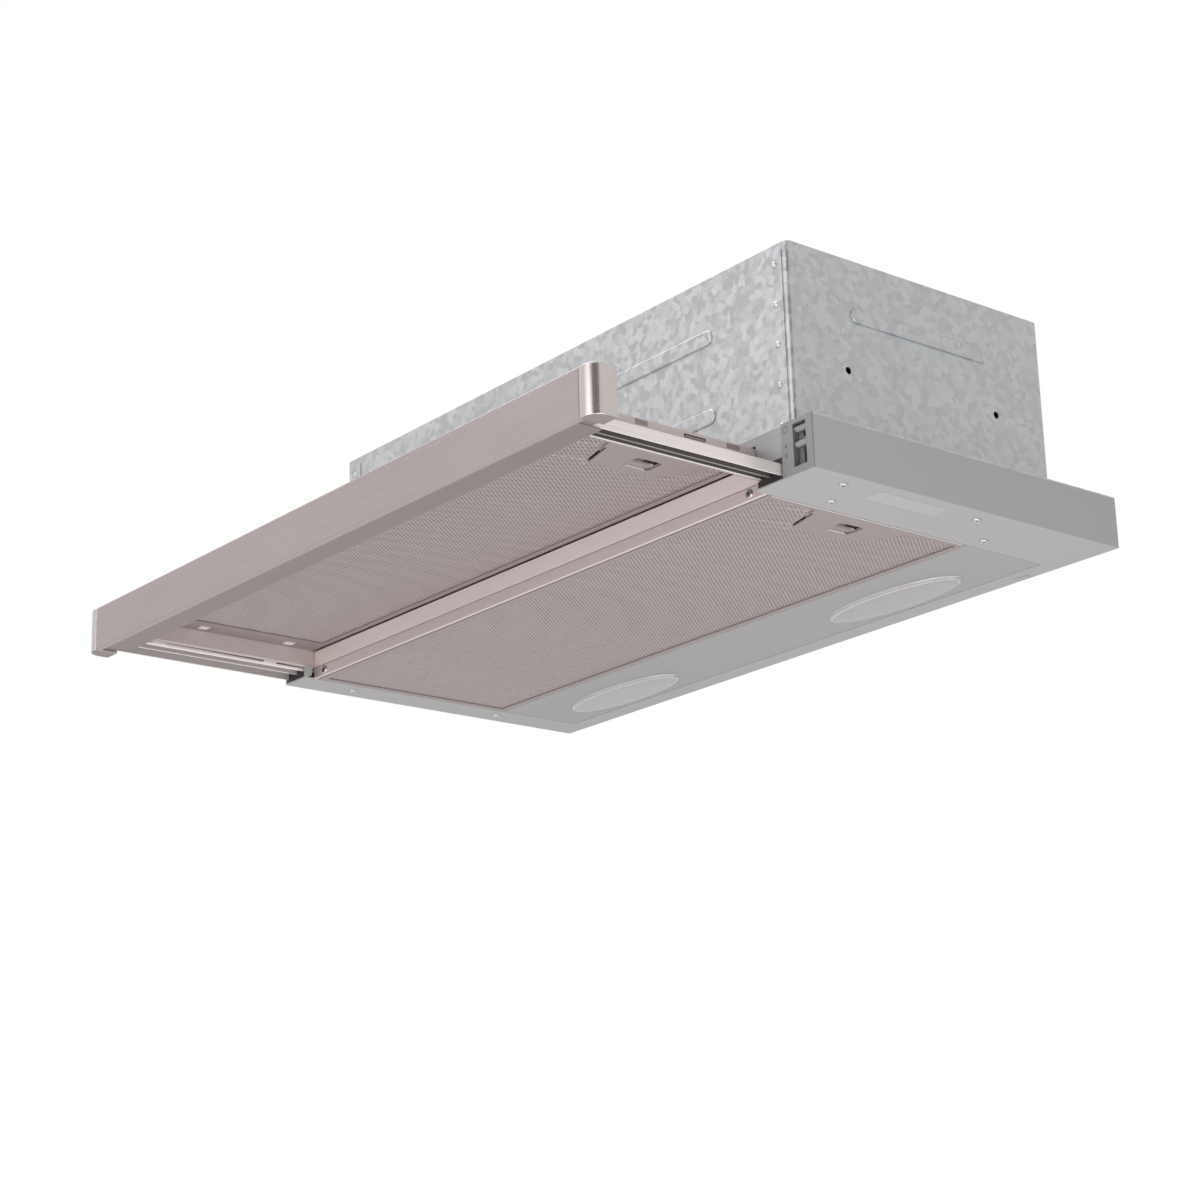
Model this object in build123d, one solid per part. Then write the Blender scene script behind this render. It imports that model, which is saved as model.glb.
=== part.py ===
"""Slide-out range hood for a 60 cm wall cabinet, in millimetres.

The pieces are drawn from the middle of the plate's front lower edge: X to the right, Y to the
rear, Z up. On export they move so that the origin is the middle of the rear edge of the face
that meets the cabinet. The tray is drawn pulled out.
"""
from build123d import *
from math import cos, radians, sin
import os

# Low body
BODY_W = 598.0
BODY_D = 281.0
BODY_H = 36.0
SHEET = 1.0
CONTROL_W = 28.0
RAIL_LANE = 26.5
REAR_STRIP = 17.0
LIP_H = 8.0
LIP_T = 0.8
CLIP_X = 216.5
CLIP_W = 11.0
CLIP_D = 4.0
CLIP_T = 0.6
SLIP = 0.4
SEAT = 0.5

# Cross bar in front of the filter
BAR_Y = 8.5
BAR_GAP = 0.8
TRIM_H = 8.5
TRIM_T = 2.0
BAR_FLANGE = 7.0

# Tray
TRAVEL = 152.0
TRAY_FRONT = -155.0
TRAY_REAR = 30.0
WALL_T = 1.0
WALL_LOW = 10.0
TRAY_TOP = 27.8
WINDOW_H = 3.5
WINDOW_UP = 1.1
WINDOWS = ((-98.0, -88.0), (-24.0, -13.0))
SLOT_TOP = 29.5

# Fascia
FASCIA_FRONT = -173.0
FASCIA_LOW = -2.4
FASCIA_TOP = 29.7
CAP_W = 14.0
CAP_R = 10.0
CAP_WALL = 2.0
GRIP_INSET = 22.0
GRIP_D = 23.0
GRIP_T = 1.0

# Rails, measured outwards from the tray's side walls
RAIL_W = 23.4
RAIL_TOP = 10.7
WEB_T = 2.0
LEG_T = 1.3
LEG_LOW = 3.3
RIDGE_AT = 11.5
RIDGE_T = 1.5
RIDGE_LOW = 5.3
BEAD_AT = 1.0
BEAD_T = 3.0
BEAD_LOW = 5.8
RAIL_TABS = ((-132.0, -121.0), (-36.0, -25.0))
TAB_TOP = 8.6
RAIL_REAR = 100.0
GUIDE_D = 12.0
GUIDE_H = 15.0
CHANNEL_T = 0.8
CHANNEL_TOP = 32.0
CHANNEL_FLANGE = 18.0
PAD_D = 12.0
PAD_W = 15.6

# Filters
FILTER_H = 8.0
FILTER_SKIN = 0.8
FILTER_BORDER = 5.0
MESH_T = 1.0
TRAY_FILTER_H = 4.2
TRAY_FILTER_GAP = 0.3
TRAY_FILTER_FRONT = -147.0
TRAY_BORDER_LEFT = 20.0
TRAY_BORDER_RIGHT = 28.0
HANDLE_W = 40.0
HANDLE_D = 84.0
FINGER_W = 16.0
FINGER_D = 21.0
PULL_W = 9.0
PULL_D = 17.0
CUT_W = 1.6
LATCH_T = 1.8
LATCH_D = 30.0
TONGUE_D = 16.0
TONGUE_OUT = 1.6
LATCH_TRAVEL = 5.0
FILTER_LATCH_Y = 98.0
TRAY_LATCH_Y = -50.0
HOOK_W = 10.0
HOOK_T = 1.0
HOOK_OUT = 1.6
HOOK_SEAT = 10.5

# Lamps
LAMP_D = 73.0
LAMP_LIP = 12.0
LENS_HALF = 62.0
LENS_WIDE = 19.0
LENS_DROP = 4.5
LENS_WALL = 2.0
LENS_FLANGE = 3.0
LENS_SPREAD = 151.0
LENS_Y = 236.0
BULB_R = 10.0
BULB_L = 78.0
SOCKET_R = 13.0
SOCKET_L = 30.0
LAMP_Z = 18.0

# Switches
SWITCH_T = 1.5
SWITCH_BODY = 7.0
RECESS_W = 11.5
RECESS_H = 28.2
RECESS_LOW = 4.5
RECESS_RIGHT = 5.5
RECESS_D = 5.5
KNOB_H = 4.0
LIGHT_TRAVEL = 3.0
SPEED_TRAVEL = 12.0
STEM_W = 3.0
BOX_D = 170.0
BOX_WALL = 1.6
BLOCK_D = 14.0
STOP_W = 14.0
STOP_D = 10.0
STOP_H = 12.0
PLUNGER_R = 2.0
PLUNGER_OUT = 3.6

# Upper casing and fan
CASE_W = 510.0
CASE_D = 240.0
CASE_FRONT = 28.0
CASE_ROOM = 14.0
CASE_FLANGE = 12.0
CASE_R = 4.0
FOOT_UP = 26.0
SIDE_HOLE_D = 5.0
SIDE_HOLE_PITCH = 140.0
SIDE_HOLE_UP = 60.0
FAN_R = 50.0
FAN_L = 80.0
BLADES = 24
BLADE_T = 1.0
BLADE_LEAN = 8.0
BLADE_DEEP = 9.0
SCROLL_GAP = 8.0
SCROLL_STEP = 5.0
SCROLL_W = 94.0
SCROLL_WALL = 2.0
INLET_R = 42.0
SHAFT_R = 4.0
MOTOR_R = 40.0
MOTOR_L = 52.0
SHIELD_L = 13.0
SPIDER_T = 2.0
SPIDER_ARM = 12.0
SPIDER_RIM = 14.0
SPIGOT_R = 60.0
SPIGOT_H = 30.0
SPIGOT_WALL = 2.5
SPIGOT_FLANGE = 15.0
FLAP_T = 1.5
FLAP_UP = 10.0
PIN_R = 1.5
GLAND_R = 9.0
GLAND_BORE_R = 4.0
GLAND_UP = 17.0
GLAND_DOWN = 9.0
GLAND_INSET = 40.0
TERMINAL_W = 75.0
TERMINAL_D = 50.0
TERMINAL_H = 32.0
TERMINAL_WALL = 2.0
CAPACITOR_R = 14.0
CAPACITOR_L = 48.0

# Screws
SCREW_R = 1.5
SCREW_HEAD_R = 3.2
SCREW_HEAD_H = 1.2
SCREW_SLIP = 0.2
CHANNEL_SCREW_Y = (53.0, 193.0)
CONTROL_SCREW_Y = (37.0, 157.0)
TRIM_SCREW_IN = 14.5
BOX_SCREW_IN = 30.0
HOOK_Y = (40.0, 160.0)

half_w = BODY_W / 2
control_x = half_w - CONTROL_W
open_right = control_x - RAIL_LANE
open_left = -half_w + SHEET + RAIL_LANE
mid_x = (open_left + open_right) / 2
open_half = (open_right - open_left) / 2
open_rear = BODY_D - REAR_STRIP
deck_z = BODY_H - SHEET
wall_in = open_half + SEAT
wall_out = wall_in + WALL_T
rail_out = wall_out + RAIL_W
filter_front = BAR_Y + TRIM_T + SHEET + SEAT
filter_rear = open_rear - LAMP_D - SEAT
filter_left = open_left + SEAT
filter_right = open_right - SEAT
tray_filter_z = TRAY_TOP - WALL_T - TRAY_FILTER_GAP - TRAY_FILTER_H
window_low = tray_filter_z + WINDOW_UP
bar_top = tray_filter_z - BAR_GAP
case_h = 2 * (FAN_R + SCROLL_GAP + SCROLL_STEP) + CASE_ROOM
case_top = BODY_H + case_h
case_rear = CASE_FRONT + CASE_D
fan_y = CASE_FRONT + CASE_D / 2 - FAN_R / 2
fan_z = BODY_H + FAN_R + SCROLL_GAP + 2 * SCROLL_STEP + 4
grip_z = FASCIA_LOW + SHEET
spigot_y = fan_y + (FAN_R + SCROLL_GAP + 2 * SCROLL_STEP) / 2
flap_z = case_top + FLAP_UP
motor_x0 = SCROLL_W / 2 + SCROLL_GAP
trim_screw_x = (open_right - TRIM_SCREW_IN, open_left + TRIM_SCREW_IN)
channel_screw_x = wall_out + RIDGE_AT
channel_screws = [(mid_x + s * channel_screw_x, y) for s in (1, -1) for y in CHANNEL_SCREW_Y]
control_screws = [(half_w - CONTROL_W / 2, y) for y in CONTROL_SCREW_Y]
plate_screw_places = channel_screws + control_screws
box_screw_x = CASE_W / 2 + CASE_FLANGE / 2
box_screw_y = (CASE_FRONT + BOX_SCREW_IN, case_rear - BOX_SCREW_IN)
box_screw_places = [(s * box_screw_x, y) for s in (1, -1) for y in box_screw_y]
fascia_screw_in = wall_out + (BEAD_AT + BEAD_T + RIDGE_AT) / 2 - 1
fascia_screw_z = RAIL_TOP - WEB_T / 2
spigot_screw_r = SPIGOT_R + SPIGOT_FLANGE / 2
spigot_screw_places = [
    (spigot_screw_r * cos(radians(a)), spigot_y + spigot_screw_r * sin(radians(a)))
    for a in (45, 135, 225, 315)
]
gland_x = -CASE_W / 2 + GLAND_INSET
gland_y = case_rear - GLAND_INSET
middle_y = CASE_FRONT + CASE_D / 2
side_hole_y = (middle_y - SIDE_HOLE_PITCH / 2, middle_y + SIDE_HOLE_PITCH / 2)
recess_x1 = half_w - RECESS_RIGHT
recess_x0 = recess_x1 - RECESS_W
knob_x = (recess_x0 + recess_x1) / 2
recess_top = RECESS_LOW + RECESS_H
light_z = recess_top - 1 - KNOB_H / 2
speed_z = light_z - LIGHT_TRAVEL - 1.5 * KNOB_H - 1
floor_y = RECESS_D - SWITCH_T
lamp_end = LENS_HALF + LENS_FLANGE + 6
stop_y = RAIL_REAR + TRAVEL + SLIP
stop_x = mid_x + rail_out + SLIP
stop_z = (RAIL_TOP + CHANNEL_TOP) / 2


def slab(x0, x1, y0, y1, z0, z1):
    middle = Pos((x0 + x1) / 2, (y0 + y1) / 2, (z0 + z1) / 2)
    return middle * Box(x1 - x0, y1 - y0, z1 - z0)


def area(a0, a1, b0, b1):
    return Pos((a0 + a1) / 2, (b0 + b1) / 2) * Rectangle(a1 - a0, b1 - b0)


def outline(*points):
    return make_face(Polyline(*points, close=True))


def folded(points, thick):
    """Section of a bent sheet: one side follows the points, the other lies thick to the left."""
    path = [Vector(*point) for point in points]
    normals = [(b - a).normalized().rotate(Axis.Z, 90) for a, b in zip(path, path[1:])]
    other = []
    for i, point in enumerate(path):
        before = normals[max(i - 1, 0)]
        after = normals[min(i, len(normals) - 1)]
        other.append(point + (before + after) * (thick / (1 + before.dot(after))))
    return outline(*path, *reversed(other))


def along_x(face, x0, x1):
    return extrude(Plane.YZ.offset(x0) * face, x1 - x0)


def along_y(face, y0, y1):
    return extrude(Plane.XZ.offset(-y1) * face, y1 - y0)


def along_z(face, z0, z1):
    return extrude(Plane.XY.offset(z0) * face, z1 - z0)


def drill(x, y, z0, z1, radius):
    return along_z(Pos(x, y) * Circle(radius), z0, z1)


def to_left(piece):
    return mirror(piece, about=Plane.YZ.offset(mid_x))


def right_side(a0, a1, y0, y1, z0, z1):
    """Slab on the right of the tray, a0 to a1 outwards from its middle line."""
    return slab(mid_x + a0, mid_x + a1, y0, y1, z0, z1)


def screw(length):
    """Pan head screw that points up, its head under the origin."""
    h, r = SCREW_HEAD_H, SCREW_HEAD_R
    head = [(r, 0), (r * 0.75, -h), (0, -h)]
    return revolve(Plane.XZ * outline((0, length), (SCREW_R, length), (SCREW_R, 0), *head), Axis.Z)


def make_bottom_plate():
    pan = slab(-half_w, half_w, 0, BODY_D, 0, deck_z)
    pan -= slab(-half_w + SHEET, half_w - SHEET, -1, BODY_D - SHEET, SHEET, BODY_H)
    pan -= slab(open_left, open_right, -1, open_rear, -1, BODY_H)
    lips = slab(open_left - LIP_T, open_right + LIP_T, BAR_Y, open_rear + LIP_T, SHEET, LIP_H)
    lips -= slab(open_left, open_right, 0, open_rear, 0, BODY_H)
    lips -= latch_window(open_right, FILTER_LATCH_Y, 0)
    for y in HOOK_Y:
        lips -= hook(open_left + SEAT, y, hook_z(0, FILTER_H), HOOK_W + 2, HOOK_T + 2)
    tab = slab(open_left - 2 * LIP_T, open_left + LIP_H, 0, SHEET, 0, LIP_H)
    clip_y = (open_rear + BODY_D) / 2 + SHEET
    clip = slab(CLIP_X - CLIP_W / 2, CLIP_X + CLIP_W / 2, clip_y, clip_y + CLIP_D, -CLIP_T, SHEET)
    plate = pan + lips + tab + clip
    for x, y in plate_screw_places:
        plate -= drill(x, y, -1, SHEET + 1, SCREW_R + SCREW_SLIP)
    return plate


def latch_window(x, y, low):
    """Window that a latch tongue enters, in a wall whose inner face is at x."""
    z = low + FILTER_SKIN + SLIP
    reach = TONGUE_D / 2 + 1
    return slab(x - 1, x + 3, y - reach, y + reach, z - SLIP, z + LATCH_T + SLIP)


def hook_z(low, height):
    return low + height / 2


def hook(edge, y, z, wide, thick):
    """Tab that stands out to the left of a filter's left edge."""
    return slab(edge - HOOK_OUT, edge, y - wide / 2, y + wide / 2, z - thick / 2, z + thick / 2)


def make_top_deck():
    deck = slab(-half_w, half_w, 0, BODY_D, deck_z, BODY_H)
    gap = SLIP / 2
    x = CASE_W / 2 + gap
    hole = slab(-x, x, CASE_FRONT - gap, case_rear + gap, 0, 2 * BODY_H)
    deck -= fillet(hole.edges().filter_by(Axis.Z), CASE_R + gap)
    for x, y in box_screw_places:
        deck -= drill(x, y, deck_z - 1, BODY_H + 1, SCREW_R)
    return deck


def make_front_wall():
    section = folded([(0, GUIDE_H), (0, deck_z), (GUIDE_D, deck_z)], -SHEET)
    wall = along_x(section, -half_w + SHEET, control_x)
    slot = right_side(-wall_out - SLIP, wall_out + SLIP, -1, BODY_D, 0, SLOT_TOP)
    return wall - slot


def make_front_cross_bar():
    step = BAR_Y + TRIM_T
    line = [
        (BAR_Y + BAR_FLANGE, bar_top),
        (BAR_Y, bar_top),
        (BAR_Y, TRIM_H + SLIP),
        (step, TRIM_H + SLIP),
        (step, SHEET),
    ]
    bar = along_x(folded(line, SHEET), open_left, open_right)
    for x in trim_screw_x:
        bar -= Pos(x, step, TRIM_H / 2) * Rot(-90, 0, 0) * Cylinder(SCREW_R, 8)
    return bar


def make_bar_trim():
    trim = slab(open_left, open_right, BAR_Y, BAR_Y + TRIM_T, 0, TRIM_H)
    trim = fillet(trim.edges().filter_by(Axis.X).group_by(Axis.Y)[0], 0.5)
    for x in trim_screw_x:
        trim -= Pos(x, BAR_Y, TRIM_H / 2) * Rot(-90, 0, 0) * Cylinder(SCREW_R + SCREW_SLIP, 8)
    return trim


def make_bar_trim_screws():
    turned = Rot(-90, 0, 0) * screw(TRIM_T + SHEET)
    return [Pos(x, BAR_Y, TRIM_H / 2) * turned for x in trim_screw_x]


def make_plate_screws():
    return [Pos(x, y, 0) * screw(SHEET + CHANNEL_T) for x, y in plate_screw_places]


def make_lamp_panel():
    x0, x1, y0, y1 = filter_left, filter_right, open_rear - LAMP_D, open_rear - SEAT
    panel = slab(x0, x1, y0, y1, 0, LAMP_LIP)
    panel -= slab(x0 + SHEET, x1 - SHEET, y0 + SHEET, y1 - SHEET, SHEET, BODY_H)
    for s in (1, -1):
        hole = Pos(mid_x + s * LENS_SPREAD, LENS_Y) * oval(LENS_HALF + 3 * SLIP, LENS_WIDE + SLIP)
        panel -= along_z(hole, -1, SHEET + 1)
    return panel


def oval(half, wide):
    """Pointed oval of two arcs."""
    lower = ThreePointArc((-half, 0), (0, -wide), (half, 0))
    upper = ThreePointArc((half, 0), (0, wide), (-half, 0))
    return make_face([lower, upper])


def lens_body(half, wide, drop, top):
    """Oval column up to top, its lower end turned about an axis along X above the lens."""
    up = (LENS_WIDE ** 2 - LENS_DROP ** 2) / (2 * LENS_DROP)
    curve = ThreePointArc((-half, up), (0, up + drop), (half, up))
    sides = Polyline((half, up), (half, 0), (-half, 0), (-half, up))
    turned = revolve(make_face([curve, *sides.edges()]), Axis.X)
    return along_z(oval(half, wide), -drop - 1, top) & Pos(0, 0, up) * turned


def make_lens(s):
    wall = LENS_WALL
    wide = oval(LENS_HALF + LENS_FLANGE, LENS_WIDE + LENS_FLANGE)
    lens = lens_body(LENS_HALF, LENS_WIDE, LENS_DROP, SHEET) + along_z(wide, SHEET, SHEET + wall)
    lens -= lens_body(LENS_HALF - 3 * wall, LENS_WIDE - wall, LENS_DROP - wall, SHEET + 2 * wall)
    return Pos(mid_x + s * LENS_SPREAD, LENS_Y, 0) * lens


def make_lamp_holder(s):
    """Socket on a bracket that stands on the lamp panel beside the lens."""
    end = lamp_end
    socket = Pos(end - SOCKET_L / 2, 0, LAMP_Z) * Rot(0, 90, 0) * Cylinder(SOCKET_R, SOCKET_L)
    socket -= Pos(end - SOCKET_L, 0, LAMP_Z) * Rot(0, 90, 0) * Cylinder(BULB_R - 2, SOCKET_L)
    foot = folded([(end + 12, SHEET), (end, SHEET), (end, LAMP_Z + SOCKET_R)], -SHEET)
    bracket = along_y(foot, -SOCKET_R, SOCKET_R)
    return Pos(mid_x + s * LENS_SPREAD, LENS_Y, 0) * (socket + bracket)


def make_lamp_bulb(s):
    """Tubular bulb that lies over the lens, its cap in the socket."""
    end = lamp_end - SOCKET_L / 2
    cap_r = BULB_R - 2
    cap_l = SOCKET_L / 2
    cap = [(0, 0), (cap_r, 0), (cap_r, cap_l), (BULB_R, cap_l + 4)]
    tip = [(BULB_R, BULB_L - 4), (BULB_R - 4, BULB_L), (0, BULB_L)]
    bulb = revolve(Plane.XZ * outline(*cap, *tip), Axis.Z)
    return Pos(mid_x + s * LENS_SPREAD + end, LENS_Y, LAMP_Z) * Rot(0, -90, 0) * bulb


def make_switch_plate():
    plate = slab(control_x, half_w, -SWITCH_T, 0, 0, BODY_H - 0.2)
    plate = fillet(plate.edges().filter_by(Axis.Z).group_by(Axis.Y)[0], 0.8)
    plate += slab(control_x + SEAT, half_w - SHEET - SEAT, 0, SWITCH_BODY, SHEET, deck_z - SEAT)
    plate -= slab(recess_x0, recess_x1, -SWITCH_T - 1, floor_y, RECESS_LOW, recess_top)
    for z, travel in ((light_z, LIGHT_TRAVEL), (speed_z, SPEED_TRAVEL)):
        low, high = z - travel - STEM_W / 2 - SLIP, z + STEM_W / 2 + SLIP
        reach = STEM_W / 2 + SLIP
        plate -= slab(knob_x - reach, knob_x + reach, 0, SWITCH_BODY + 1, low, high)
    return plate


def make_slider(z):
    """Knob with a thumb ridge, a stem through the slot and a keeper behind the plate."""
    reach = RECESS_W / 2 - SLIP
    low, high = z - KNOB_H / 2, z + KNOB_H / 2
    front = [(floor_y - 0.3, low), (floor_y - 0.3, high), (1.2, high), (-0.8, z), (1.2, low)]
    knob = along_x(outline(*front), knob_x - reach, knob_x + reach)
    grip = STEM_W / 2
    stem = slab(knob_x - grip, knob_x + grip, floor_y - 0.3, SWITCH_BODY + 2, z - grip, z + grip)
    back = SWITCH_BODY + 0.3
    keeper = slab(knob_x - 2 * grip, knob_x + 2 * grip, back, SWITCH_BODY + 2, z - grip, z + grip)
    return knob + stem + keeper


def make_switch_blocks():
    """Slide switches behind the two knobs, clear of the keepers over their travel."""
    blocks = []
    for z, travel in ((light_z, LIGHT_TRAVEL), (speed_z, SPEED_TRAVEL)):
        low, high = z - travel - KNOB_H / 2 + 0.3, z + KNOB_H / 2 - 0.3
        front = SWITCH_BODY + 2.3
        x0 = control_x + BOX_WALL + SEAT
        blocks.append(slab(x0, knob_x + 4, front, front + BLOCK_D, low, high))
    return blocks


def make_control_box():
    x0, x1 = control_x, half_w - SHEET
    box = slab(x0 + SEAT, x1 - SEAT, SWITCH_BODY, BOX_D, SHEET, deck_z - SEAT)
    wall = BOX_WALL + SEAT
    box -= slab(x0 + wall, x1 - wall, 0, BOX_D - BOX_WALL, SHEET + BOX_WALL, BODY_H)
    for x, y in control_screws:
        box += drill(x, y, SHEET, LIP_H + SHEET, 2.5 * SCREW_R)
        box -= drill(x, y, 0, LIP_H, SCREW_R)
    return box


def rail_section(grow):
    """E-shaped rail in X and Z, open below, with its legs thickened by grow."""
    edge = mid_x + wall_out
    face = area(edge - grow, edge + RAIL_W + grow, RAIL_TOP - WEB_T - grow, RAIL_TOP + grow)
    legs = (
        (BEAD_AT, BEAD_T, BEAD_LOW),
        (RIDGE_AT - RIDGE_T / 2, RIDGE_T, RIDGE_LOW),
        (RAIL_W - LEG_T, LEG_T, LEG_LOW),
    )
    for at, thick, low in legs:
        face += area(edge + at - grow, edge + at + thick + grow, low - grow, RAIL_TOP)
    return face


def make_tray_rail():
    rail = along_y(rail_section(0), TRAY_FRONT, RAIL_REAR)
    low_bead = [e for e in rail.edges().filter_by(Axis.Y) if abs(e.center().Z - BEAD_LOW) < 0.01]
    rail = fillet(low_bead, BEAD_T * 0.4)
    for y0, y1 in RAIL_TABS:
        rail += right_side(wall_out + SLIP / 2, wall_out + BEAD_AT, y0, y1, BEAD_LOW + 1, TAB_TOP)
    place = Pos(mid_x + fascia_screw_in, TRAY_FRONT, fascia_screw_z)
    return rail - place * Rot(90, 0, 0) * Cylinder(SCREW_R / 2, 4 * GUIDE_D)


def make_rear_pad():
    """Nylon block on the rail's rear end, which runs under the channel's top flange."""
    edge = rail_out - SLIP
    top_z = CHANNEL_TOP - CHANNEL_T - SLIP
    pad = right_side(edge - PAD_W, edge, RAIL_REAR - PAD_D, RAIL_REAR, RAIL_TOP, top_z)
    top = pad.edges().filter_by(Axis.X).group_by(Axis.Z)[-1]
    return fillet(top, 2.0)


def make_slide_channel():
    """C-shaped channel on the plate, open towards the tray."""
    x1 = mid_x + rail_out + SLIP + CHANNEL_T
    x0 = mid_x + wall_out + SLIP
    line = [(x0, SHEET), (x1, SHEET), (x1, CHANNEL_TOP), (x1 - CHANNEL_FLANGE, CHANNEL_TOP)]
    channel = along_y(folded(line, CHANNEL_T), SHEET + GUIDE_D, open_rear - SEAT)
    for y in CHANNEL_SCREW_Y:
        channel -= drill(mid_x + channel_screw_x, y, 0, SHEET + CHANNEL_T + 1, SCREW_R)
    return channel


def make_front_guide():
    """Black block under the front wall, with tongues that run in the rail's grooves."""
    x0 = mid_x + wall_out + BEAD_AT
    x1 = mid_x + rail_out + SLIP + CHANNEL_T
    face = area(x0, x1, SHEET, GUIDE_H) - rail_section(SLIP)
    return along_y(face, 0, SHEET + GUIDE_D).solids().sort_by(SortBy.VOLUME)[-1]


def make_tray_cover():
    """Folded lid of the tray: its top sheet and two side walls with hook windows."""
    x0, x1 = mid_x - wall_out, mid_x + wall_out
    line = [(x1, WALL_LOW), (x1, TRAY_TOP), (x0, TRAY_TOP), (x0, WALL_LOW)]
    cover = along_y(folded(line, WALL_T), TRAY_FRONT, TRAY_REAR)
    for y0, y1 in WINDOWS:
        cover -= slab(x0 - 1, x1 + 1, y0, y1, window_low, window_low + WINDOW_H)
    cover -= latch_window(mid_x + wall_in, TRAY_LATCH_Y, tray_filter_z)
    return cover


def make_fascia():
    """Folded front: back plate, top, face and a short turned-in lower edge."""
    line = [
        (TRAY_FRONT, LEG_LOW),
        (TRAY_FRONT, FASCIA_TOP),
        (FASCIA_FRONT, FASCIA_TOP),
        (FASCIA_FRONT, FASCIA_LOW),
        (FASCIA_FRONT + 4, FASCIA_LOW),
    ]
    face = along_x(folded(line, SHEET), -half_w + CAP_W, half_w - CAP_W)
    for s in (1, -1):
        place = Pos(mid_x + s * fascia_screw_in, TRAY_FRONT, fascia_screw_z)
        face -= place * Rot(90, 0, 0) * Cylinder(SCREW_R + SCREW_SLIP, 8)
    return face


def make_end_cap():
    """Hollow moulded cap with a rounded front corner, open towards the fascia."""
    x0, x1 = half_w - CAP_W, half_w
    plan = area(x0, x1, FASCIA_FRONT, TRAY_FRONT)
    corner = plan.vertices().sort_by(lambda v: v.X - v.Y)[-1]
    plan = fillet(corner, CAP_R)
    wall = CAP_WALL
    inner = area(x0 - wall, x1 - wall, FASCIA_FRONT + wall, TRAY_FRONT - wall)
    inner_corner = inner.vertices().sort_by(lambda v: v.X - v.Y)[-1]
    inner = fillet(inner_corner, CAP_R - wall)
    cap = along_z(plan, FASCIA_LOW, FASCIA_TOP)
    return cap - along_z(inner, FASCIA_LOW + wall, FASCIA_TOP - wall)


def make_grip_strip():
    """Bar under the fascia that the fingers pull, fixed to the back plate by its rib."""
    x0, x1 = -half_w + GRIP_INSET, half_w - GRIP_INSET
    front = FASCIA_FRONT + SHEET + SLIP
    bar = slab(x0, x1, front, front + GRIP_D, grip_z, grip_z + GRIP_T)
    bar = fillet(bar.edges().filter_by(Axis.Z), 3.0)
    rib_top = fascia_screw_z - SCREW_HEAD_R - SLIP
    back = TRAY_FRONT - SHEET
    return bar + slab(x0 + 8, x1 - 8, back - SHEET, back, grip_z + GRIP_T, rib_top)


def make_fascia_screws():
    turned = Rot(-90, 0, 0) * screw(SHEET)
    y = TRAY_FRONT - SHEET
    return [Pos(mid_x + s * fascia_screw_in, y, fascia_screw_z) * turned for s in (1, -1)]


def handle_area(x, y):
    """Plain field round a latch: half an ellipse with a straight slanted front."""
    w, d = HANDLE_W, HANDLE_D
    front = outline((0, 0), (-w, 0), (-0.9 * w, -0.38 * d), (-0.25 * w, -0.46 * d), (0, -0.5 * d))
    return Pos(x, y) * (Ellipse(w, d / 2) + front)


def handle_cuts(x, y):
    """Finger opening and the slanted cut along the front of the plain field."""
    opening = Pos(x - 0.53 * HANDLE_W, y) * RectangleRounded(FINGER_W, FINGER_D, 3)
    slant = Pos(x - 0.58 * HANDLE_W, y - 0.42 * HANDLE_D) * Rot(0, 0, -14.5)
    return opening + slant * Rectangle(0.66 * HANDLE_W, CUT_W)


def latch_pull(x, y, z0, z1):
    """Finger hole in a latch, wider at its lower face."""
    hole = Pos(x - 0.44 * HANDLE_W, y) * RectangleRounded(PULL_W, PULL_D, 2)
    return extrude(Plane.XY.offset(z1) * hole, z0 - z1, taper=-25)


def filter_pieces(x0, x1, y0, y1, low, height, left, right, handle_x, handle_y, hooks):
    """Frame, mesh sheets and latch of a filter cassette."""
    whole = area(x0, x1, y0, y1)
    inside = area(x0 + SHEET, x1 - SHEET, y0 + SHEET, y1 - SHEET)
    field = area(x0 + left, x1 - right, y0 + FILTER_BORDER, y1 - FILTER_BORDER)
    top = low + height
    low_skin = whole - (field - handle_area(handle_x, handle_y)) - handle_cuts(handle_x, handle_y)
    frame = along_z(low_skin, low, low + FILTER_SKIN)
    frame += along_z(whole - field, top - FILTER_SKIN, top)
    frame += along_z(whole - inside, low, top)
    frame -= latch_window(x1 - SHEET, handle_y, low)
    for y in hooks:
        frame += hook(x0, y, hook_z(low, height), HOOK_W, HOOK_T)

    latch_x0 = handle_x - HANDLE_W + LATCH_TRAVEL + 2
    z0 = low + FILTER_SKIN + SLIP
    z1 = z0 + LATCH_T
    half, tip = LATCH_D / 2, TONGUE_D / 2
    latch = slab(latch_x0, x1 - SHEET - SLIP, handle_y - half, handle_y + half, z0, z1)
    latch += slab(x1 - SHEET - 2, x1 + TONGUE_OUT, handle_y - tip, handle_y + tip, z0, z1)
    tip_edges = latch.edges().filter_by(Axis.Y).sort_by(Axis.X)[-2:]
    latch = chamfer(tip_edges.sort_by(Axis.Z)[-1], 0.8)
    latch -= latch_pull(handle_x, handle_y, z0, z1)

    room = slab(latch_x0 - LATCH_TRAVEL - 1, x1, handle_y - half - 1, handle_y + half + 1, low, z1 + SLIP)
    low_mesh = along_z(inside, low + FILTER_SKIN, low + FILTER_SKIN + MESH_T)
    top_mesh = along_z(inside, top - FILTER_SKIN - MESH_T, top - FILTER_SKIN)
    return frame, [low_mesh - room, top_mesh - room], latch


def hook_seat(edge, y, low, high, grow=0):
    """Notch in a filter's left border, or the root of the hook behind it where it grows."""
    reach = HOOK_W / 2 + grow
    return slab(edge + SHEET - grow / 2, edge + HOOK_SEAT + grow, y - reach, y + reach, low, high)


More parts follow.
